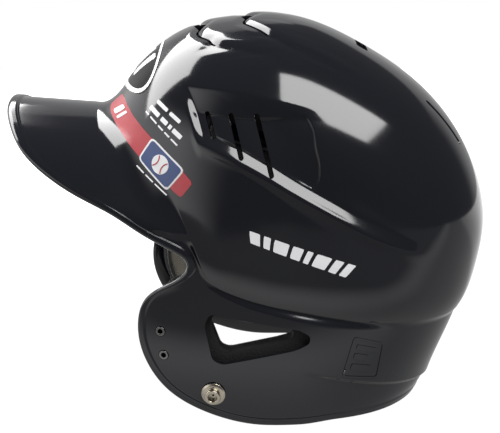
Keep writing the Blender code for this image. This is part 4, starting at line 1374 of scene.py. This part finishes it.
def make_ear_pads(foam, fabric, piping_mat):
    """Foam ring round the ear hole with a knit face."""
    region = strip_region(15.0, 4.3, 2.49, 0.42)
    face_depth = EAR_PAD_START + EAR_BODY_THICK + 0.3
    face_thick = EAR_PAD_THICK - EAR_BODY_THICK - 0.3
    body = block("left_ear_pad_body", region, EAR_PAD_START, EAR_BODY_THICK, foam, 2.0, 3.0)
    cover = block("left_ear_pad_cover", region, face_depth + 0.5, face_thick - 1.0, fabric,
                  face_thick / 2 - 0.7, PAD_GRID, shrink=PAD_SHRINK)
    puff(cover, PAD_CAP, 0.4)
    hole = rounded_outline(PAD_HOLE, EAR_ROUND)
    edge = grown(hole, BINDING_GROWTH)
    cut(body, [flat_prism(hole, (1, 2), *SIDE_CUT)])
    cut(cover, [flat_prism(edge, (1, 2), *SIDE_CUT)])
    smooth_with_edges(body, 45)
    smooth_with_edges(cover, 45)
    depth = face_depth + face_thick / 2

    def at_depth(u, v):
        return deeper(u, v, np.full(len(u), depth))

    u, v = on_surface(edge[:, 0], edge[:, 1], (1, 2), (9.5, 20.5), (2.0, 2.95), at_depth)
    border = outline_loop(region, depth, PAD_SHRINK)
    binding_radius = face_thick / 2 - CLOTH_EDGE
    cords = [tube("left_ear_hole_binding", at_depth(u, v), binding_radius, piping_mat, pitch=PIPING_PITCH),
             tube("left_ear_pad_piping", border, PIPING_RADIUS, piping_mat, pitch=PIPING_PITCH)]
    for piece in [body, cover] + cords:
        twin = mirrored(piece, piece.name.replace("left_", "right_"))
        for half, node in ((piece, "left_ear_pad"), (twin, "right_ear_pad")):
            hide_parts(node)


def grown(outline, by):
    """Closed flat outline moved outwards."""
    way = unit(np.roll(outline, -1, 0) - np.roll(outline, 1, 0))
    out = np.column_stack([way[:, 1], -way[:, 0]])
    if np.sum((outline - outline.mean(axis=0)) * out) < 0:
        out = -out
    return outline + out * by


# ---------------------------------------------------------------- hardware and decals

def lathe(name, origin, axis, profile, mat, sides=64):
    """Turned piece with its corners rounded: profile is a closed loop of radius, height along the axis."""
    axis = unit(axis)
    profile = rounded_outline(profile, TURNED_ROUND, 4)
    circle = circle_about(axis, sides)
    points = np.vstack([origin + axis * h + circle * r for r, h in profile])
    rings = [list(range(k * sides, (k + 1) * sides)) for k in range(len(profile))]
    faces = []
    for first, second in zip(rings, rings[1:] + rings[:1]):
        faces += ring_faces(first, second)
    obj = add_mesh(name + "_turned", points, faces, mat, sharp=40)
    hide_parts(name)
    return obj


def make_hardware(nickel, steel):
    for side, mirror in (("left", False), ("right", True)):
        for label, (y, z) in zip(("upper", "lower"), NUTS):
            point, normal = side_point(y, z, mirror)
            lathe("%s_guard_nut_%s" % (side, label), point, normal, NUT_PROFILE, steel)
        point, normal = side_point(*SNAP, mirror)
        lathe(side + "_snap_stud", point, normal, STUD_PROFILE, nickel)
        lathe(side + "_snap_post", point, normal, POST_PROFILE, nickel)


def make_badge(black, white):
    piece = film("front_badge_film", badge_region, DECAL_LOW, (61, 31), 2.0, black)
    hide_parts("front_badge")
    turn = np.linspace(0, 2 * np.pi, 121)
    ring = np.column_stack([np.cos(turn), np.sin(turn)]) * 0.955
    above = DECAL_LOW + DECAL_LAYER
    width = np.tile((0.03, 0.075), (len(ring), 1))
    band_film("front_badge_ring", badge_region, ring, width, above, white)
    for k, (low, high) in enumerate(((-0.62, -0.44), (-0.22, 0.0), (0.22, 0.44))):
        mark = within(badge_region, low, high, -0.55, 0.6, 0.16)
        film("front_badge_bar_%d" % k, mark, above, (7, 13), 9.0, white)


def make_label(red, white, navy):
    piece = film("brow_label_film", label_region(), DECAL_LOW, (61, 13), 14.0, red)
    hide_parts("brow_label")
    above = DECAL_LOW + DECAL_LAYER
    front = within(label_region(), -0.86, -0.60, -0.62, 0.62, 0.05)
    film("brow_label_front_mark", within(front, -1.0, -0.2, -1, 1), above, (7, 7), 6.0, white)
    film("brow_label_front_bar", within(front, 0.15, 0.6, -1, 1), above, (5, 7), 6.0, white)
    tile = quad_region(TILE, (2.0, 9.8), (0.5, 1.6))
    film("brow_tile_border", tile, above, (25, 17), 9.0, white)
    above += DECAL_LAYER
    film("brow_tile_navy", within(tile, -0.92, 0.92, -0.87, 0.87), above, (21, 13), 12.0, navy)
    above += DECAL_LAYER
    film("brow_tile_disc", within(tile, -0.42, 0.42, -0.66, 0.66), above, (21, 21), 2.0, white)
    above += DECAL_LAYER
    for k, sign in enumerate((-1, 1)):
        bow = np.linspace(-0.46, 0.46, 17)
        arc = np.column_stack([sign * (0.15 + 0.5 * bow * bow), bow])
        band_film("brow_tile_arc_%d" % k, tile, arc, 0.028, above, red)


def make_lettering(white):
    for row, (y0, z0, y1, z1, tall, dashes) in enumerate(TEXT_LINES):
        start = np.array([y0, z0])
        stop = np.array([y1, z1])
        way = unit(stop - start)
        up = np.array([way[1], -way[0]])
        up *= np.sign(up[1]) * tall / 2
        corners = (start + up, stop + up, stop - up, start - up)
        line = quad_region(corners, (2.0, 10.5), (0.4, 1.7))
        for k, (low, high) in enumerate(dashes):
            film("brow_dash_%d_%d" % (row, k), within(line, low, high, -1, 1), DECAL_LOW, (9, 4), 14.0, white)
    for side, mirror in (("left", False), ("right", True)):
        mark = quad_region(WORDMARK, (8.5, 22.0), (0.6, 2.2), mirror)
        for k, (low, high) in enumerate(WORDMARK_BARS):
            piece = within(mark, low * 0.94, high * 0.94, -1, 1, 0.05)
            film("%s_side_bar_%d" % (side, k), piece, DECAL_LOW, (9, 7), 16.0, white)


def make_emboss(plastic):
    """Small raised frame behind the ear hole with plain bars in place of lettering."""
    for side, mirror in (("left", False), ("right", True)):
        panel_area = quad_region(EMBOSS, (14.0, 22.5), (1.9, 2.98), mirror)
        loop = np.array([(-1, -1), (1, -1), (1, 1), (-1, 1)], float)
        corner_line = rounded_outline(loop, 0.18, 4)
        line = []
        for a, b in zip(corner_line, np.roll(corner_line, -1, 0)):
            line += [a + (b - a) * k / 6 for k in range(6)]
        line.append(line[0])
        band_film(side + "_emboss_frame", panel_area, line, 0.045, -EMBOSS_SUNK, plastic,
                  EMBOSS_RISE)
        for k, (low, high, bottom, top) in enumerate(EMBOSS_BARS):
            bar = within(panel_area, low, high, bottom, top)
            film("%s_emboss_bar_%d" % (side, k), bar, -EMBOSS_SUNK, (9, 5), 9.0, plastic,
                 EMBOSS_RISE)


def make_padding():
    foam = foam_material()
    fabric = fabric_material("look_fabric", (0.17, 0.158, 0.13), (0.38, 0.355, 0.30))
    piping = fabric_material("look_piping", (0.03, 0.03, 0.03), (0.07, 0.068, 0.064), 320)
    charcoal = fabric_material("look_charcoal", (0.012, 0.012, 0.013), (0.04, 0.04, 0.042))
    covers = (fabric, piping)
    dark_covers = (charcoal, piping)
    first_depth = WALL + PAD_GAP
    second_depth = first_depth + FOAM_THICK + LAYER_GAP
    make_foam("front_foam", strip_region(0, 5.0, 0.70, 0.24), first_depth, FOAM_THICK, foam)
    make_foam("crown_foam", crown_region(38, 12, 62), first_depth + CROWN_EXTRA, FOAM_THICK, foam)
    make_foam("rear_foam", strip_region(LAST_STATION, 3.6, 0.78, 0.19), REAR_START, FOAM_THICK, foam)
    make_foam("left_side_foam", strip_region(13.8, 5.4, 0.80, 0.155), SIDE_START, SIDE_FOAM_THICK, foam,
              pair=True)
    make_pad("front_pad", strip_region(0, 4.8, 0.72, 0.235), second_depth, PAD_THICK,
             (("along", -48), ("along", 0), ("along", 48)), covers)
    make_pad("crown_pad", crown_region(36, 14, 60), second_depth + CROWN_EXTRA, PAD_THICK,
             (("along", -12), ("along", 12)), dark_covers)
    make_pad("rear_pad", strip_region(LAST_STATION, 3.4, 0.78, 0.18), REAR_START + FOAM_THICK + LAYER_GAP,
             PAD_THICK, (("along", -30), ("along", 30)), dark_covers)
    make_pad("nape_pad", strip_region(LAST_STATION, 3.4, 2.42, 0.36), first_depth, FOAM_THICK,
             (("along", -26), ("along", 26), ("across", 0)), covers)
    make_pad("left_side_pad", strip_region(13.8, 5.2, 0.80, 0.145), SIDE_START + SIDE_FOAM_THICK + LAYER_GAP,
             SIDE_PAD_THICK, (("along", -26), ("along", 26)), dark_covers, pair=True)
    make_ear_pads(foam, fabric, piping)


def make_decals():
    white = film_material("look_white_film", (0.62, 0.62, 0.63), (0.74, 0.74, 0.75))
    black = film_material("look_black_film", (0.006, 0.006, 0.007), (0.012, 0.012, 0.013), 0.05)
    red = film_material("look_red_film", (0.30, 0.018, 0.028), (0.38, 0.028, 0.038))
    navy = film_material("look_navy_film", (0.012, 0.03, 0.11), (0.02, 0.045, 0.15))
    make_badge(black, white)
    make_label(red, white, navy)
    make_lettering(white)


make_studio()
plastic = shell_material()
shell = make_shell(plastic)
cut(shell, shell_cutters())
shell.data.materials.clear()
shell.data.materials.append(plastic)
smooth_with_edges(shell, 38)
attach(shell, "root")
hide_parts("shell")
make_padding()
nickel = metal_material("look_nickel", (0.26, 0.23, 0.18), (0.50, 0.46, 0.38))
steel = metal_material("look_dark_steel", (0.07, 0.07, 0.07), (0.2, 0.2, 0.195))
make_hardware(nickel, steel)
make_decals()
make_emboss(plastic)
